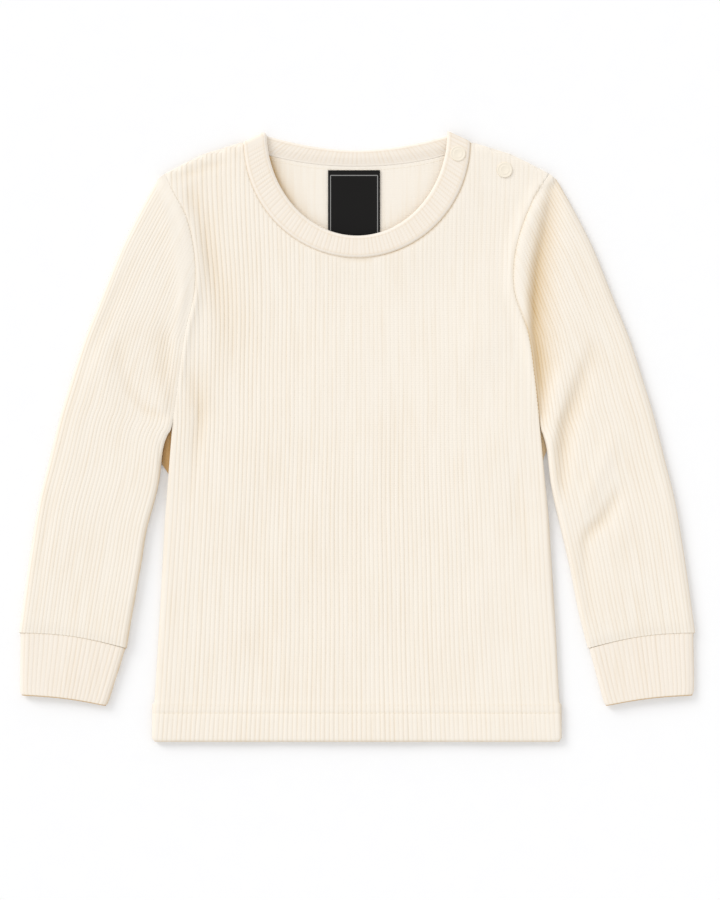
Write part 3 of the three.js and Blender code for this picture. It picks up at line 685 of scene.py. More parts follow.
# %% Shapes of the tubes
def section_table(sections, side, spacing):
    """Smooth sections at a regular spacing, as outer and inner ends, bow and openness."""
    name = "left" if side < 0 else "right"
    knots = np.arange(len(sections), dtype=float)
    inner_x = []
    for section in sections:
        on_armhole = name not in section
        edge = float(body_edge(side, np.array(section["inner_y"]))) + SEAM_GAP
        inner_x.append(edge if on_armhole else section[name])
    columns = {
        "outer_x": [section["outer_x"] for section in sections],
        "outer_y": [section["outer_y"] for section in sections],
        "inner_x": inner_x,
        "inner_y": [section["inner_y"] for section in sections],
        "bow": [section["bow"] for section in sections],
    }
    steps = [0.0]
    for index in range(len(sections) - 1):
        run = max(
            abs(columns["outer_y"][index + 1] - columns["outer_y"][index]),
            abs(columns["inner_y"][index + 1] - columns["inner_y"][index]),
        )
        count = max(1, round(run / spacing))
        steps += [index + (part + 1) / count for part in range(count)]
    last = len(sections) - 1
    ends = [0.2 / spacing / 4, 0.8 / spacing / 4]
    ends += [last - end for end in ends]
    at = np.union1d(steps, ends)
    table = {key: curve_through(knots, values, at) for key, values in columns.items()}
    is_sleeve = name not in sections[0]
    table["open"] = (at < LAST_ARMHOLE_SECTION - 1e-6) & is_sleeve
    on_seam = (at <= LAST_ARMHOLE_SECTION + 1e-6) & is_sleeve
    armhole_x = body_edge(side, table["inner_y"]) + SEAM_GAP
    table["inner_x"] = np.where(on_seam, armhole_x, table["inner_x"])
    table["from_underarm"] = at - LAST_ARMHOLE_SECTION if is_sleeve else np.full(len(at), 9.0)
    return table


UNDER_RIBS = 4
# Painted shade at the seam between sleeve and cuff and at the cuff's lower edge, for each mm the tube's end
# drops.
SEAM_PAINTED_SHADE = 20.0
UNDERARM_RISE = {-1: 1.8, 1: 0.0}
# Painted shade on a tube's inner edge below the underarm: strong on the wearer's right, whose inner edge
# faces away from the light.
SHADED_EDGE = {-1: 1.4, 1: 0.1}
# The painted shade of a fold is moved this far west, onto the flank that faces away from the light.
PAINTED_SHADE_SHIFT = 4.5


def tube_object(name, sections, side, tube, seed):
    table = section_table(sections, side, tube["spacing"])
    start = np.stack([side * table["outer_x"], table["outer_y"]], axis=-1)
    end = np.stack([side * table["inner_x"], table["inner_y"]], axis=-1)
    width = np.linalg.norm(end - start, axis=1)[:, None]
    along = (end - start) / width
    up_sleeve = np.stack([side * along[:, 1], -side * along[:, 0]], axis=-1)
    is_open = table["open"][:, None]
    open_amount = smoothstep(0.0, 1.0, -table["from_underarm"])[:, None]
    roll_amount = smoothstep(50, 90, end[:, 1:2]) * open_amount
    seam_height = side_height(end[:, 1:2])
    edge_open = smoothstep(0.0, 0.3, -table["from_underarm"])[:, None] if side < 0 else open_amount
    flush = (side < 0) * (1 - smoothstep(80, 110, end[:, 1:2])) * edge_open
    head_width = mix(*tube["head_width"][side], smoothstep(65, 120, end[:, 1:2]))
    down = np.cumsum(np.append(0, np.hypot(*np.diff(start, axis=0).T)))[:, None]
    settle = tube["start_settle"] * np.exp(-((down / 7) ** 2))
    settle = settle + tube["end_settle"] * np.exp(-(((down[-1] - down) / 5) ** 2))

    low_edge = tube["edge_z"] + UNDERARM_RISE[side] * tube["joins_body"] * smoothstep(-26, 6, end[:, 1:2])
    far_edge = mix(low_edge, seam_height, edge_open)

    def place(across, z):
        bow = table["bow"][:, None] * np.sin(np.pi * across / width)
        flat = start[:, None] + along[:, None] * across[..., None] + up_sleeve[:, None] * bow[..., None]
        return np.concatenate([flat, np.broadcast_to(z, across.shape)[..., None]], axis=-1)

    def folds_at(across):
        flat = place(across, 0.0)
        return fold_height(tube["folds"], flat[..., 0], flat[..., 1]), slack(flat[..., 0], flat[..., 1])

    def top(across):
        from_inner = width - across
        head = tube["head_roll"] * roll_amount * np.exp(-(((from_inner - 5) / 4) ** 2))
        fold, waves = folds_at(across)
        middle = tube["height"] + head + fold + waves - settle
        near = mix(tube["edge_z"], middle, quarter_round(across, tube["edge_roll"]))
        rounded = quarter_round(from_inner, mix(tube["inner_roll"], 8.0, open_amount))
        far = mix(far_edge, middle, mix(rounded, smoothstep(0, 9, from_inner), flush))
        return np.where(across < from_inner, near, far)

    places, rib_swell, rib_strength = rib_columns(tube["ribs"], seed)
    pitch = np.maximum(tube["least_pitch"], width / tube["ribs"])
    middle_share = np.clip(places / tube["ribs"], 0, 1)
    wander = tube["wander"] * np.sin(start[:, 1:2] / 23 + 5 * middle_share) * np.sin(np.pi * middle_share)
    across = np.clip(places * pitch + wander, 0, width)
    across = np.where(width - across < COLUMN_SNAP, width, across)
    across[:, 0] = 0
    across[:, -1] = width[:, 0]
    smooth_head = smoothstep(head_width - 3, head_width + 3, width - across)
    fade = np.clip(np.minimum(across, width - across) / 2.0, 0, 1)
    fade = fade * mix(1.0, mix(0.2, 1.0, smooth_head), roll_amount)
    fold = folds_at(across)[0]
    strength = rib_strength * (1 + 0.3 * np.clip(-fold, 0, 1))
    relief = tube["rib_height"] * strength * rib_swell * fade
    below_arm = 1 - smoothstep(-25, 5, end[:, 1:2])
    # Painted shade along the tube's inner edge, and on the wearer's left also along its outer edge, the edges
    # that face away from the light.
    painted_edge_strength = EDGE_PAINTED_SHADE * mix(painted_edge_shade_weight(side, end[:, 1:2]), SHADED_EDGE[side], below_arm)
    painted_edge_shade = painted_edge_strength * np.exp(-(((width - across) / mix(0.8, 1.2, below_arm)) ** 2))
    if side > 0:
        painted_edge_shade = painted_edge_shade + EDGE_PAINTED_SHADE * np.exp(-((across / 0.8) ** 2))
    drop = tube["start_drop"] * np.exp(-((down / 0.5) ** 2))
    drop = drop + tube["end_drop"] * np.exp(-(((down[-1] - down) / 0.5) ** 2))
    # The fold's painted shade is taken half from a point to the east, so it falls on the shaded flank.
    east = np.clip(across - side * PAINTED_SHADE_SHIFT, 0, width)
    flank = 0.5 * (fold + folds_at(east)[0])
    # The colour takes painted shade from the rib furrows, the folds, the shaded edges and the ends' drop.
    shade = painted_light_level(rib_swell, strength, fade, flank - painted_edge_shade - SEAM_PAINTED_SHADE * drop)
    upper = place(across, top(across) + relief - drop)
    upper[:, -1, 2] = far_edge[:, 0]
    upper[:, 0, 2] = tube["edge_z"]

    inset = np.minimum(UNDER_INSET, width / 4)
    shares = np.linspace(1, 0, UNDER_RIBS * COLUMNS_A_RIB + 1)
    under_across = np.clip(shares * width, inset, width - inset)
    under_across[:, 0] = width[:, 0]
    under = place(under_across, 0.0)[:, :-1]
    under[:, 0, 2] = np.where(is_open[:, 0], 0.0, low_edge[:, 0])
    outer = np.concatenate([under, upper], axis=1)
    shade = np.concatenate([np.ones(under.shape[:2]), shade], axis=1)
    around = np.concatenate([-under_across[:, :-1], across], axis=1)
    pattern = np.stack([around, np.broadcast_to(down, around.shape)], axis=-1)

    near = np.minimum(tube["wall"], width / 4)
    far = np.where(is_open, width, width - near)
    floor = tube["wall"]
    under_shares = np.linspace(1, 0, UNDER_RIBS + 1)
    inner_under = place(near + under_shares * (far - near), floor)[:, :-1]
    inner_under[:, 0, 2] = np.where(is_open[:, 0], floor, low_edge[:, 0])
    inner_across = near + np.linspace(0, 1, tube["ribs"] + 1) * (far - near)
    inner_top = np.maximum(floor + LAYER_GAP, top(inner_across) - tube["wall"])
    inner_upper = place(inner_across, inner_top)
    inner_upper[:, 0, 2] = tube["edge_z"]
    lowest = floor + LAYER_GAP / 2
    far_inside = np.maximum(lowest, far_edge[:, 0] - floor)
    inner_upper[:, -1, 2] = np.where(is_open[:, 0], far_inside, low_edge[:, 0])
    inner = np.concatenate([inner_under, inner_upper], axis=1)

    mouth = np.append(False, table["open"][:-1])
    faces = wall_faces(outer.shape[:2], inner.shape[:2], mouth, mouth)
    wall = {"outer": outer, "inner": inner, "open": shade, "pattern": pattern, "faces": faces}
    length = float(down[-1, 0])
    area = float(np.trapz(2 * width[:, 0], down[:, 0]))
    return cloth_object(name, [wall]), 2 * float(width.max()), length, area


SLEEVE_TUBE = {
    "spacing": 2.4,
    "ribs": SLEEVE_RIBS,
    "least_pitch": SLEEVE_LEAST_PITCH,
    "height": SLEEVE_HEIGHT,
    "edge_z": SLEEVE_EDGE_Z,
    "edge_roll": SLEEVE_EDGE_ROLL,
    "inner_roll": 3.5,
    "head_width": {-1: (9.0, 16.0), 1: (7.0, 8.0)},
    "head_roll": SLEEVE_HEAD_ROLL,
    "rib_height": 0.2,
    "wander": 0.35,
    "wall": WALL,
    "start_drop": 0.0,
    "end_drop": 0.05,
    "start_settle": 1.5,
    "end_settle": 0.75,
    "joins_body": 1.0,
    "folds": SLEEVE_FOLDS,
}
CUFF_TUBE = {
    **SLEEVE_TUBE,
    "spacing": 1.6,
    "ribs": CUFF_RIBS,
    "least_pitch": 0.0,
    "height": CUFF_HEIGHT,
    "edge_z": CUFF_EDGE_Z,
    "head_roll": 0.0,
    "rib_height": 0.22,
    "wander": 0.15,
    "wall": DOUBLED_WALL,
    "start_drop": 0.05,
    "end_drop": 0.7,
    "start_settle": 0.0,
    "end_settle": 0.0,
    "joins_body": 0.0,
    "folds": [],
}

# %% [markdown]
# The wearer's left is on the picture's right. Each tube returns its object and its flat size, which
# is twice its width, because the cloth goes all round.

# %% Make both sleeves and both cuffs
sleeves = {}
cuffs = {}
for side, name in ((1, "left"), (-1, "right")):
    sleeves[name] = tube_object(f"sleeve_{name}_knit", SLEEVE_SECTIONS, side, SLEEVE_TUBE, 20 + side)
    cuffs[name] = tube_object(f"cuff_{name}_knit", CUFF_SECTIONS, side, CUFF_TUBE, 30 + side)


# %% [markdown]
# ## Neckband
# The band is one strip of rib folded double, with its ribs running across it. It starts at the
# snapped shoulder, runs round the front, turns over the other shoulder and comes back behind the
# neck. A ring of points, one cross-section, is placed at each step along it, and its outer edge is
# rounded. The ribs stand out on the side that shows.

# %% Make the neckband
def front_band_edge(curve, angle):
    x = curve["half_width"] * np.sin(angle)
    return np.stack([x, curve["top_y"] - curve["depth"] * np.cos(angle), 0 * x + BAND_FRONT_Z], axis=-1)


def back_band_edge(curve, share):
    y = curve["middle_y"] + curve["rise"] * np.abs(share) ** curve["power"]
    return np.stack([curve["half_width"] * share, y, 0 * share + BAND_HALF_THICKNESS], axis=-1)


BAND_TURN_STEPS = 14
turn_radius = (BAND_FRONT_Z - BAND_HALF_THICKNESS) / 2
turn_reach = turn_radius + BAND_HALF_THICKNESS
last_angle = -math.pi / 2 + math.asin(turn_reach / BAND_SEAM["depth"])

RIBS_EASED_AT_TURN = 3.0
front_steps, front_band_swell, front_band_strength = rib_columns(BAND_FRONT_RIBS, 41)
before_turn = (BAND_FRONT_RIBS - front_steps) / RIBS_EASED_AT_TURN
front_band_strength = front_band_strength * np.clip(before_turn, 0, 1)
angles = math.pi / 2 + front_steps / BAND_FRONT_RIBS * (last_angle - math.pi / 2)
seam_line = [front_band_edge(BAND_SEAM, angles)]
free_line = [front_band_edge(BAND_FREE, angles)]
up = np.array([0, 0, 1.0])
outward = [np.tile(up, (len(angles), 1))]

fold_start, fold_end = seam_line[0][-1], free_line[0][-1]
across_fold = (fold_end - fold_start) / np.linalg.norm(fold_end - fold_start)
over_fold = np.cross(up, across_fold)
turned = np.linspace(0, math.pi, BAND_TURN_STEPS + 1)[1:-1, None]
turn_out = up * np.cos(turned) + over_fold * np.sin(turned)
lowered = np.array([0, 0, turn_radius])
seam_line.append(fold_start - lowered + turn_out * turn_radius)
free_line.append(fold_end - lowered + turn_out * turn_radius)
outward.append(turn_out)

back_steps, back_band_swell, back_band_strength = rib_columns(BAND_BACK_RIBS, 42)
back_band_strength = back_band_strength * np.clip(back_steps / RIBS_EASED_AT_TURN, 0, 1)
shares = -1 + 2 * back_steps / BAND_BACK_RIBS
seam_line.append(back_band_edge(BAND_BACK_SEAM, shares))
free_line.append(back_band_edge(BAND_BACK_FREE, shares))
outward.append(np.tile(-up, (len(shares), 1)))

seam_line, free_line, outward = (np.concatenate(parts) for parts in (seam_line, free_line, outward))
plain = np.zeros(BAND_TURN_STEPS - 1)
unseen_front, unseen_back = 0 * front_band_swell, 0 * back_band_swell
swell_by_face = {
    1: np.concatenate([front_band_swell, plain, unseen_back]),
    -1: np.concatenate([unseen_front, plain, back_band_swell]),
}
strength_by_face = {
    1: np.concatenate([front_band_strength, plain, unseen_back]),
    -1: np.concatenate([unseen_front, plain, back_band_strength]),
}
print("cross-sections of the neckband:", len(seam_line))

# %% [markdown]
# A cross-section starts at the seam, runs over the outer face to the free edge and comes back on the
# other face. Both edges are round, with a low ridge where the doubled cloth folds. On the back of
# the neck the band thins towards its seam, so that it meets the panel without a step.

# %% Round cross-section of the neckband
SECTION_STEPS = 21
# How strongly the band's rib furrows take painted shade.
BAND_RIB_SHADE = 0.9
EDGE_SOFTNESS = 0.14
BACK_SEAM_SLOPE = 0.6
BACK_SEAM_THICKNESS = 0.25
profile = []
for face in (1, -1):
    for step in range(SECTION_STEPS):
        share = step / (SECTION_STEPS - 1)
        share = share if face > 0 else 1 - share
        thick = float(quarter_round(np.array(min(share, 1 - share)), EDGE_SOFTNESS))
        if face < 0:
            free_side = float(quarter_round(np.array(1 - share), EDGE_SOFTNESS))
            seam_side = float(smoothstep(0, BACK_SEAM_SLOPE, share))
            thick = min(free_side, mix(BACK_SEAM_THICKNESS, 1.0, seam_side))
        profile.append((share, face, thick))
rings = []
ring_painted_light = []
for share, face, thick in profile:
    swell, strength = swell_by_face[face], strength_by_face[face]
    from_edge = min(share, 1 - share)
    plain_seam = face < 0 and share < 0.5
    fade = smoothstep(0.06, 0.22, from_edge)
    ridge = 0.0 if plain_seam else BAND_EDGE_RIDGE * math.exp(-(((from_edge - 0.09) / 0.04) ** 2))
    painted_groove_shade = 0.0 if plain_seam else math.exp(-(((from_edge - 0.16) / 0.03) ** 2))
    away = face * (BAND_HALF_THICKNESS * max(thick, 0.02) + ridge + BAND_RIB_HEIGHT * strength * swell * fade)
    rings.append(seam_line * (1 - share) + free_line * share + outward * away[:, None])
    # Painted shade on the band: the rib furrows, a line a little in from each edge, and the outer seam of the
    # front face.
    seam_shade = 2.2 * math.exp(-((share / 0.035) ** 2)) if face > 0 else 0.0
    ring_painted_light.append(painted_light_level(swell, BAND_RIB_SHADE * strength, fade, -1.3 * painted_groove_shade - seam_shade))
rings = np.stack(rings, axis=1)
ring_painted_light = np.stack(ring_painted_light, axis=1)

count, corners = rings.shape[:2]
index = np.arange(count * corners).reshape(count, corners)
band_faces = []
for column in range(corners):
    following = (column + 1) % corners
    for row in range(count - 1):
        band_faces.append(
            [index[row, column], index[row, following], index[row + 1, following], index[row + 1, column]]
        )
band_faces.append(list(index[0, ::-1]))
band_faces.append(list(index[-1]))

run = np.append(0, np.cumsum(np.linalg.norm(np.diff((seam_line + free_line) / 2, axis=0), axis=1)))
band_width = np.linalg.norm(free_line - seam_line, axis=1)
ring_shares = np.array([share for share, _, _ in profile])
band_pattern = np.stack(
    [np.broadcast_to(run[:, None], (count, corners)), band_width[:, None] * ring_shares], axis=-1
)
mesh = bpy.data.meshes.new("neckband_knit")
mesh.from_pydata((rings.reshape(-1, 3) * MM).tolist(), [], [[int(c) for c in face] for face in band_faces])
mesh.attributes.new("open", "FLOAT", "POINT").data.foreach_set("value", ring_painted_light.astype(np.float32).ravel())
uv = mesh.uv_layers.new(name="knit")
loop_points = np.empty(len(mesh.loops), dtype=np.int32)
mesh.loops.foreach_get("vertex_index", loop_points)
uv.data.foreach_set("uv", (band_pattern.reshape(-1, 2)[loop_points] * MM).astype(np.float32).ravel())
shape = bmesh.new()
shape.from_mesh(mesh)
if shape.calc_volume(signed=True) < 0:
    bmesh.ops.reverse_faces(shape, faces=shape.faces)
shape.to_mesh(mesh)
shape.free()
mesh.polygons.foreach_set("use_smooth", np.ones(len(mesh.polygons), dtype=bool))
neckband = bpy.data.objects.new("neckband_knit", mesh)
bpy.context.scene.collection.objects.link(neckband)


# %% [markdown]
# ## Materials
# Cotton rib knit is spun cotton, knitted and washed. It has no gloss, a soft nap that lightens it
# at a grazing angle, and tiny stitches, whose bump is as fine as the yarn. Furrows and folds get
# painted shade, warmer and darker, for the light that bounces between their sides. One function turns
# hex colours to linear, and one adds a node with its settings and links.

# %% Colour and node helpers
def linear(hex_colour, alpha=1.0):
    channels = [int(hex_colour[i : i + 2], 16) / 255 for i in (1, 3, 5)]
    return tuple(c / 12.92 if c <= 0.04045 else ((c + 0.055) / 1.055) ** 2.4 for c in channels) + (alpha,)


def add_node(material, kind, settings=None, **links):
    node = material.node_tree.nodes.new(kind)
    for key, value in (settings or {}).items():
        if isinstance(key, str) and hasattr(node, key):
            setattr(node, key, value)
        else:
            node.inputs[key].default_value = value
    for name, source in links.items():
        key = int(name[1:]) if name[0] == "i" and name[1:].isdigit() else name.replace("_", " ")
        material.node_tree.links.new(source, node.inputs[key])
    return node


def new_material(name):
    material = bpy.data.materials.new(name)
    material.use_nodes = True
    return material, material.node_tree.nodes["Principled BSDF"]


# %% [markdown]
# The colour goes through three tones by how open the cloth lies: tan as painted shade in the gap of a
# seam, a warmer cream as painted shade in a fold and a pale cream on top. A faint streaking follows
# each rib, because no length of yarn is quite even. The bump is the height of one stitch, and the nap is a
# weak sheen.

# %% Cotton rib knit
STITCH_LENGTH = 1.5 * MM
STREAKS_ACROSS = 420.0
STREAKS_ALONG = 22.0
# Where the ramp passes from the painted shade of a seam's gap to the painted shade of a fold.
GAP_TO_FOLD = 0.16


def cotton_rib(name, tones, nap):
    material, shader = new_material(name)
    # Reads the painted light level, which the ramp turns into painted shade.
    painted_light = add_node(material, "ShaderNodeAttribute", {"attribute_name": "open"})
    uv_map = add_node(material, "ShaderNodeUVMap", {"uv_map": "knit"})
    place = add_node(material, "ShaderNodeTexCoord")
    streak_scale = {"Scale": (STREAKS_ACROSS, STREAKS_ALONG, 1.0)}
    along_rib = add_node(material, "ShaderNodeMapping", streak_scale, Vector=uv_map.outputs["UV"])

    def noise(source, scale, detail, roughness):
        settings = {"Scale": scale, "Detail": detail, "Roughness": roughness}
        return add_node(material, "ShaderNodeTexNoise", settings, Vector=source).outputs["Fac"]

    def scaled_sum(source, factor, plus):
        settings = {"operation": "MULTIPLY_ADD", 1: factor}
        return add_node(material, "ShaderNodeMath", settings, i0=source, i2=plus).outputs[0]

    streak = noise(along_rib.outputs[0], 1.0, 2.0, 0.5)
    cloudy = noise(place.outputs["Object"], 26.0, 3.0, 0.6)
    fleck = noise(place.outputs["Object"], 900.0, 2.0, 0.7)
    clouded = scaled_sum(cloudy, 0.12, scaled_sum(streak, 0.3, painted_light.outputs["Fac"]))
    middle_off = {"operation": "SUBTRACT", 1: 0.21, "use_clamp": True}
    level = add_node(material, "ShaderNodeMath", middle_off, i0=clouded)
    colour = add_node(material, "ShaderNodeValToRGB", i0=level.outputs[0])
    colour.color_ramp.elements.new(GAP_TO_FOLD)
    for stop, tone in zip(colour.color_ramp.elements, tones):
        stop.color = linear(tone)
    material.node_tree.links.new(colour.outputs["Color"], shader.inputs["Base Color"])
    rows = add_node(
        material,
        "ShaderNodeTexWave",
        {"bands_direction": "Y", "Scale": 0.314 / STITCH_LENGTH, "Distortion": 1.5, "Detail": 1.0},
        Vector=uv_map.outputs["UV"],
    )
    texture = scaled_sum(rows.outputs["Fac"], 0.5, fleck)
    bump = add_node(material, "ShaderNodeBump", {"Strength": 0.3, "Distance": 0.2 * MM}, Height=texture)
    material.node_tree.links.new(bump.outputs["Normal"], shader.inputs["Normal"])
    shader.inputs["Roughness"].default_value = 0.95
    shader.inputs["Specular IOR Level"].default_value = 0.15
    shader.inputs["Sheen Weight"].default_value = nap
    shader.inputs["Sheen Roughness"].default_value = 0.6
    return material


# The first two tones are painted shade, the last is the cloth's own cream.
knit = cotton_rib("cotton_rib_knit", ("#c69e68", "#dabe92", "#f2eade"), 0.12)
trim_knit = cotton_rib("cotton_rib_trim", ("#c69e68", "#dabe92", "#f1e8dc"), 0.12)

thread, thread_shader = new_material("spun_polyester_thread")
place = add_node(thread, "ShaderNodeTexCoord")
ply = add_node(thread, "ShaderNodeTexNoise", {"Scale": 700.0, "Detail": 2.0}, Vector=place.outputs["Object"])
thread_tone = add_node(thread, "ShaderNodeMix", {"data_type": "RGBA"}, i0=ply.outputs["Fac"])
thread_tone.inputs[6].default_value = linear("#f1e6d2")
thread_tone.inputs[7].default_value = linear("#f5ecdc")
thread.node_tree.links.new(thread_tone.outputs[2], thread_shader.inputs["Base Color"])
thread_shader.inputs["Roughness"].default_value = 0.8
thread_shader.inputs["Sheen Weight"].default_value = 0.1

# %% [markdown]
# ## Stitching
# The hem is held by two rows of straight stitches 5.5 mm apart, made at once by a twin needle. A
# finer row runs just below the band inside the neck. In the armholes' seams the stitches lie nearly
# end to end, and where the seam is closed they are sunk in it. Each stitch is a short six-sided
# length of thread with pinched ends.

# %% Rows of stitches
THREAD_SIDES = 6
STITCH_STATIONS = ((-0.5, 0.25), (-0.32, 0.9), (0.0, 1.0), (0.32, 0.9), (0.5, 0.25))


def stitch_row(name, line, length, gap, thickness):
    """Threads laid along a line of points in mm, pressed a little into the cloth at their ends."""
    steps = np.append(0, np.cumsum(np.linalg.norm(np.diff(line, axis=0), axis=1)))
    centres = np.arange(length, steps[-1] - length, length + gap)
    middle = np.stack([np.interp(centres, steps, line[:, axis]) for axis in range(3)], axis=-1)
    ahead = np.stack([np.interp(centres + 0.3, steps, line[:, axis]) for axis in range(3)], axis=-1)
    along = (ahead - middle) / np.linalg.norm(ahead - middle, axis=1)[:, None]
    beside = np.stack([-along[:, 1], along[:, 0], 0 * along[:, 0]], axis=-1)
    turns = np.arange(THREAD_SIDES) / THREAD_SIDES * 2 * math.pi
    points = []
    for share, swell in STITCH_STATIONS:
        centre = middle + along * share * length - np.array([0, 0, (1 - swell) * thickness * 0.4])
        for turn in turns:
            out = beside * math.cos(turn) + np.array([0, 0, math.sin(turn)])
            points.append(centre + out * swell * thickness / 2)
    points = np.stack(points, axis=1)
    faces = []
    rings = len(STITCH_STATIONS)
    for stitch in range(len(centres)):
        first = stitch * rings * THREAD_SIDES
        for ring in range(rings - 1):
            low = first + ring * THREAD_SIDES
            for side in range(THREAD_SIDES):
                after = (side + 1) % THREAD_SIDES
                faces.append([low + side, low + after, low + THREAD_SIDES + after, low + THREAD_SIDES + side])
        faces.append([first + side for side in range(THREAD_SIDES)][::-1])
        faces.append([first + (rings - 1) * THREAD_SIDES + side for side in range(THREAD_SIDES)])
    mesh = bpy.data.meshes.new(name)
    mesh.from_pydata((points.reshape(-1, 3) * MM).tolist(), [], faces)
    shape = bmesh.new()
    shape.from_mesh(mesh)
    bmesh.ops.recalc_face_normals(shape, faces=shape.faces)
    shape.to_mesh(mesh)
    shape.free()
    mesh.polygons.foreach_set("use_smooth", np.ones(len(mesh.polygons), dtype=bool))
    mesh.materials.append(thread)
    row = bpy.data.objects.new(name, mesh)
    bpy.context.scene.collection.objects.link(row)
    print(name, "stitches:", len(centres))
    return row


# Length, gap and thickness of a stitch in mm.
HEM_STITCH = (2.6, 0.5, 0.34)
ARMHOLE_STITCH = (2.4, 0.15, 0.3)
NECK_STITCH = (1.8, 0.4, 0.3)

stitching = []
hem_x = np.arange(-133.0, 133.1, 1.0)
for name, line_y in (("hem_stitches_lower", HEM_STITCH_Y), ("hem_stitches_upper", HEM_TOP_Y)):
    hem_z = front_height(hem_x, np.full(len(hem_x), line_y), 133.5 - np.abs(hem_x)) - 0.02
    line = np.stack([hem_x, np.full(len(hem_x), line_y), hem_z], axis=-1)
    stitching.append(stitch_row(name, line, *HEM_STITCH))
for name, side in (("armhole_stitches_left", 1), ("armhole_stitches_right", -1)):
    seam_y = np.arange(12.0, 171.0, 1.0)
    seam_x = side * (body_edge(side, seam_y) + SEAM_GAP / 2)
    sunk = 0.06 if side > 0 else 0.17 + 0.5 * (1 - smoothstep(84, 100, seam_y))
    line = np.stack([seam_x, seam_y, side_height(seam_y) - sunk], axis=-1)
    stitching.append(stitch_row(name, line, *ARMHOLE_STITCH))
tape_x = np.arange(-58.0, 58.1, 1.0)
tape_y = BAND_BACK_SEAM["middle_y"] - 2.4
tape_share = np.abs(tape_x / BAND_BACK_SEAM["half_width"])
tape_y = tape_y + BAND_BACK_SEAM["rise"] * tape_share ** BAND_BACK_SEAM["power"]
line = np.stack([tape_x, tape_y, np.full(len(tape_x), BACK_WALL + 0.02)], axis=-1)
stitching.append(stitch_row("neck_stitches", line, *NECK_STITCH))


# %% [markdown]
# ## Label
# The label is woven from black polyester thread, folded in at its top and sewn into the neck seam.
# It lies on the back inside the neck and its lower end is under the front of the band. A grid of
# squares is given a little curl at its sides and then its thickness.

# %% Model the label
label_low, label_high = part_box("label")
bpy.ops.object.select_all(action="DESELECT")
bpy.ops.mesh.primitive_grid_add(x_subdivisions=14, y_subdivisions=20, size=1.0)
label = bpy.context.object
label.name = "label_weave"
label_size = label_high - label_low
label_middle = (label_high + label_low) / 2
LABEL_CURL = 0.25 * MM
LABEL_THICKNESS = 0.45 * MM
for vertex in label.data.vertices:
    across, along = vertex.co.x, vertex.co.y
    curl = LABEL_CURL * (abs(2 * across) ** 4) + 0.1 * MM * math.sin(3.2 * along + 0.6)
    vertex.co.x = label_middle.x + across * label_size.x
    vertex.co.y = label_middle.y + along * label_size.y
    vertex.co.z = label_low.z + LABEL_THICKNESS - 0.1 * MM + curl
thick = label.modifiers.new("thickness", "SOLIDIFY")
thick.thickness = LABEL_THICKNESS
thick.offset = -1
bpy.ops.object.modifier_apply(modifier=thick.name)
bpy.ops.object.shade_smooth_by_angle(angle=math.radians(40))
print("label in mm:", [round(1000 * side, 1) for side in label_size])

# %% [markdown]
# The weave is drawn by waves across the label, which tint it and raise its threads. Its thin grey
# border is worked out from distances to three lines: one at each side and one below the top.

# %% Woven black polyester with a grey border
weave, weave_shader = new_material("woven_polyester_label")
place = add_node(weave, "ShaderNodeTexCoord")
spot = add_node(weave, "ShaderNodeSeparateXYZ", Vector=place.outputs["Object"])
BORDER_INSET = 1.6 * MM
BORDER_TOP_INSET = 3.4 * MM
BORDER_WIDTH = 0.55 * MM
border_half = label_size.x / 2 - BORDER_INSET


def weave_math(operation, first, second):
    """A maths node whose second input is a number or another node's output."""
    if isinstance(second, float):
        return add_node(weave, "ShaderNodeMath", {"operation": operation, 1: second}, i0=first).outputs[0]
    return add_node(weave, "ShaderNodeMath", {"operation": operation}, i0=first, i1=second).outputs[0]


def distance_from_line(source, middle, away):
    centred = add_node(weave, "ShaderNodeMath", {"operation": "SUBTRACT", 1: middle}, i0=source)
    size = add_node(weave, "ShaderNodeMath", {"operation": "ABSOLUTE"}, i0=centred.outputs[0])
    less = add_node(weave, "ShaderNodeMath", {"operation": "SUBTRACT", 1: away}, i0=size.outputs[0])
    return add_node(weave, "ShaderNodeMath", {"operation": "ABSOLUTE"}, i0=less.outputs[0]).outputs[0]


top_line_y = label_high.y - BORDER_TOP_INSET
side_lines = distance_from_line(spot.outputs["X"], label_middle.x, border_half)
top_line = distance_from_line(spot.outputs["Y"], top_line_y, 0.0)
on_side = weave_math("LESS_THAN", side_lines, BORDER_WIDTH / 2)
below_top = weave_math("LESS_THAN", spot.outputs["Y"], top_line_y)
sides = weave_math("MULTIPLY", on_side, below_top)
on_top = weave_math("LESS_THAN", top_line, BORDER_WIDTH / 2)
from_middle = distance_from_line(spot.outputs["X"], label_middle.x, 0.0)
between = weave_math("LESS_THAN", from_middle, border_half)
top = weave_math("MULTIPLY", on_top, between)
border = weave_math("MAXIMUM", sides, top)
weft = {"bands_direction": "Y", "Scale": 500.0, "Distortion": 0.6}
threads = add_node(weave, "ShaderNodeTexWave", weft, Vector=place.outputs["Object"])
field = add_node(weave, "ShaderNodeMix", {"data_type": "RGBA"}, i0=threads.outputs["Fac"])
field.inputs[6].default_value = linear("#121111")
field.inputs[7].default_value = linear("#1d1c1b")
label_colour = add_node(weave, "ShaderNodeMix", {"data_type": "RGBA"}, i0=border, i6=field.outputs[2])
label_colour.inputs[7].default_value = linear("#8d8c8b")
weave.node_tree.links.new(label_colour.outputs[2], weave_shader.inputs["Base Color"])
weft_depth = {"Strength": 0.4, "Distance": 0.1 * MM}
thread_bump = add_node(weave, "ShaderNodeBump", weft_depth, Height=threads.outputs["Fac"])
weave.node_tree.links.new(thread_bump.outputs["Normal"], weave_shader.inputs["Normal"])
weave_shader.inputs["Roughness"].default_value = 0.7
weave_shader.inputs["Specular IOR Level"].default_value = 0.12
label.data.materials.append(weave)

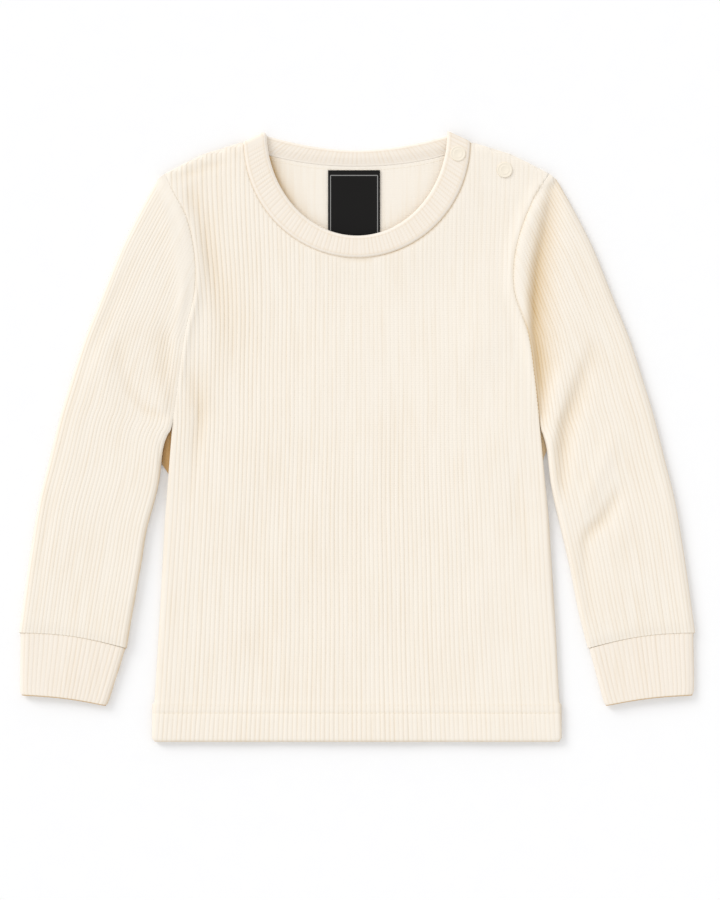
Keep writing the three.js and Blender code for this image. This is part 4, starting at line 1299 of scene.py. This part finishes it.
# %% [markdown]
# ## Snaps
# The snap caps are moulded resin in the cloth's own colour: a round disc with a raised rim and a
# raised ring around a flat middle. A cylinder is inset and its faces are pushed up and down to make
# the rings, and a small bevel takes the sharpness off. The second cap is a copy with its own mesh.

# %% Model one snap cap
SNAP_SIDES = 48
SNAP_SINK = 0.95 * MM
SNAP_BODY = 0.6 * MM
SNAP_RINGS = ((0.3, 0.08), (0.45, 0.0), (0.2, -0.1), (0.95, 0.0), (0.2, 0.08), (0.4, 0.0), (0.2, -0.08))


def select_middle(cap):
    """Selects the flat face in the middle of the cap's upper side, which each inset leaves behind."""
    shape = bmesh.from_edit_mesh(cap.data)
    ups = [face for face in shape.faces if len(face.verts) == SNAP_SIDES and face.normal.z > 0.5]
    for face in shape.faces:
        face.select_set(False)
    min(ups, key=lambda face: face.calc_area()).select_set(True)
    bmesh.update_edit_mesh(cap.data)


def snap_cap(name, node):
    low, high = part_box(node)
    middle = (low + high) / 2
    radius = (high.x - low.x) / 2
    base = low.z - SNAP_SINK
    bpy.ops.object.select_all(action="DESELECT")
    centre = (middle.x, middle.y, base + SNAP_BODY / 2)
    bpy.ops.mesh.primitive_cylinder_add(vertices=SNAP_SIDES, radius=radius, depth=SNAP_BODY, location=centre)
    cap = bpy.context.object
    cap.name = name
    bpy.ops.object.transform_apply(location=True, rotation=True, scale=True)
    bpy.ops.object.mode_set(mode="EDIT")
    bpy.ops.mesh.select_mode(type="FACE")
    for inset, lift in SNAP_RINGS:
        select_middle(cap)
        bpy.ops.mesh.inset(thickness=inset * MM, depth=0)
        bpy.ops.transform.translate(value=(0, 0, lift * MM))
    bpy.ops.object.mode_set(mode="OBJECT")
    soften = cap.modifiers.new("soft edges", "BEVEL")
    soften.width = 0.08 * MM
    soften.segments = 2
    soften.limit_method = "ANGLE"
    bpy.ops.object.modifier_apply(modifier=soften.name)
    bpy.ops.object.shade_smooth_by_angle(angle=math.radians(50))
    return cap


resin, resin_shader = new_material("moulded_resin_snap")
place = add_node(resin, "ShaderNodeTexCoord")
haze = add_node(resin, "ShaderNodeTexNoise", {"Scale": 300.0, "Detail": 2.0}, Vector=place.outputs["Object"])
tone = add_node(resin, "ShaderNodeMix", {"data_type": "RGBA"}, i0=haze.outputs["Fac"])
tone.inputs[6].default_value = linear("#efe5d3")
tone.inputs[7].default_value = linear("#f2e9d9")
resin.node_tree.links.new(tone.outputs[2], resin_shader.inputs["Base Color"])
resin_shader.inputs["Roughness"].default_value = 0.42

snaps = {}
for node in ("snap_neckband", "snap_shoulder"):
    snaps[node] = snap_cap(f"{node}_cap", node)
    snaps[node].data.materials.append(resin)
    print(node, "faces:", len(snaps[node].data.polygons))

# %% [markdown]
# Each piece rides on the one body and stands for its solid, which is hidden. What was cut is worked
# out: the panels by their area, and the tubes all round, whose sizes are printed.

# %% Ride and replace
def panel_area(rows_y, neck_half):
    widths = sum(body_edge(side, rows_y) - neck_half(rows_y) for side in (-1, 1))
    return float(np.trapz(widths, rows_y))


def dress(piece, node, material=None):
    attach(piece, "root")
    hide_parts(node)
    if material is not None:
        piece.data.materials.append(material)


dress(front, "front_panel", knit)
dress(back, "back_panel", knit)
dress(neckband, "neckband", trim_knit)
dress(label, "label")
for node, cap in snaps.items():
    dress(cap, node)

back_area = panel_area(back_rows, back_neck_half) * MM**2
front_area = panel_area(front_rows, front_neck_half) * MM**2
for name in ("left", "right"):
    for made, node, slot, material in (
        (sleeves[name], f"sleeve_{name}", "sleeve_knit", knit),
        (cuffs[name], f"cuff_{name}", "trim_knit", trim_knit),
    ):
        piece, around, length, area = made
        dress(piece, node, material)
        print(node, "cut in mm:", round(around), "by", round(length), "area in cm2:", round(area / 100))
for row in stitching:
    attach(row, "root")

# %% [markdown]
# ## Table and light
# The table is matt white and lit so that it nearly burns out, as in a catalogue picture. One wide
# sun stands low to the upper left, as bright everywhere, which puts soft shadows to the right of
# the sleeves and below the hem and shades the folds a little. The white sky gives the rest.

# %% Table, sun and sky
bpy.ops.object.select_all(action="DESELECT")
bpy.ops.mesh.primitive_plane_add(size=8.0, location=(0, 0, -0.02 * MM))
table = bpy.context.object
table.name = "table_top"
bpy.ops.object.transform_apply(location=True, rotation=True, scale=True)
matt_white, white_shader = new_material("matt_white_board")
place = add_node(matt_white, "ShaderNodeTexCoord")
grain = {"Scale": 60.0, "Detail": 3.0}
board = add_node(matt_white, "ShaderNodeTexNoise", grain, Vector=place.outputs["Object"])
board_tone = add_node(matt_white, "ShaderNodeMix", {"data_type": "RGBA"}, i0=board.outputs["Fac"])
board_tone.inputs[6].default_value = linear("#f6f6f7")
board_tone.inputs[7].default_value = linear("#f8f8f8")
matt_white.node_tree.links.new(board_tone.outputs[2], white_shader.inputs["Base Color"])
white_shader.inputs["Roughness"].default_value = 0.9
white_shader.inputs["Specular IOR Level"].default_value = 0.1
table.data.materials.append(matt_white)


sun_data = bpy.data.lights.new("soft_sun", "SUN")
sun_data.energy = 1.27
sun_data.angle = math.radians(28)
sun = bpy.data.objects.new("soft_sun", sun_data)
SUN_PLACE = Vector((-1.6, 1.5, 1.2))
sun.rotation_euler = (-SUN_PLACE).to_track_quat("-Z", "Y").to_euler()
bpy.context.scene.collection.objects.link(sun)

world = bpy.data.worlds.new("white_room")
world.use_nodes = True
world.node_tree.nodes["Background"].inputs["Color"].default_value = linear("#ffffff")
world.node_tree.nodes["Background"].inputs["Strength"].default_value = 0.88
bpy.context.scene.world = world
bpy.context.scene.view_settings.view_transform = "Standard"
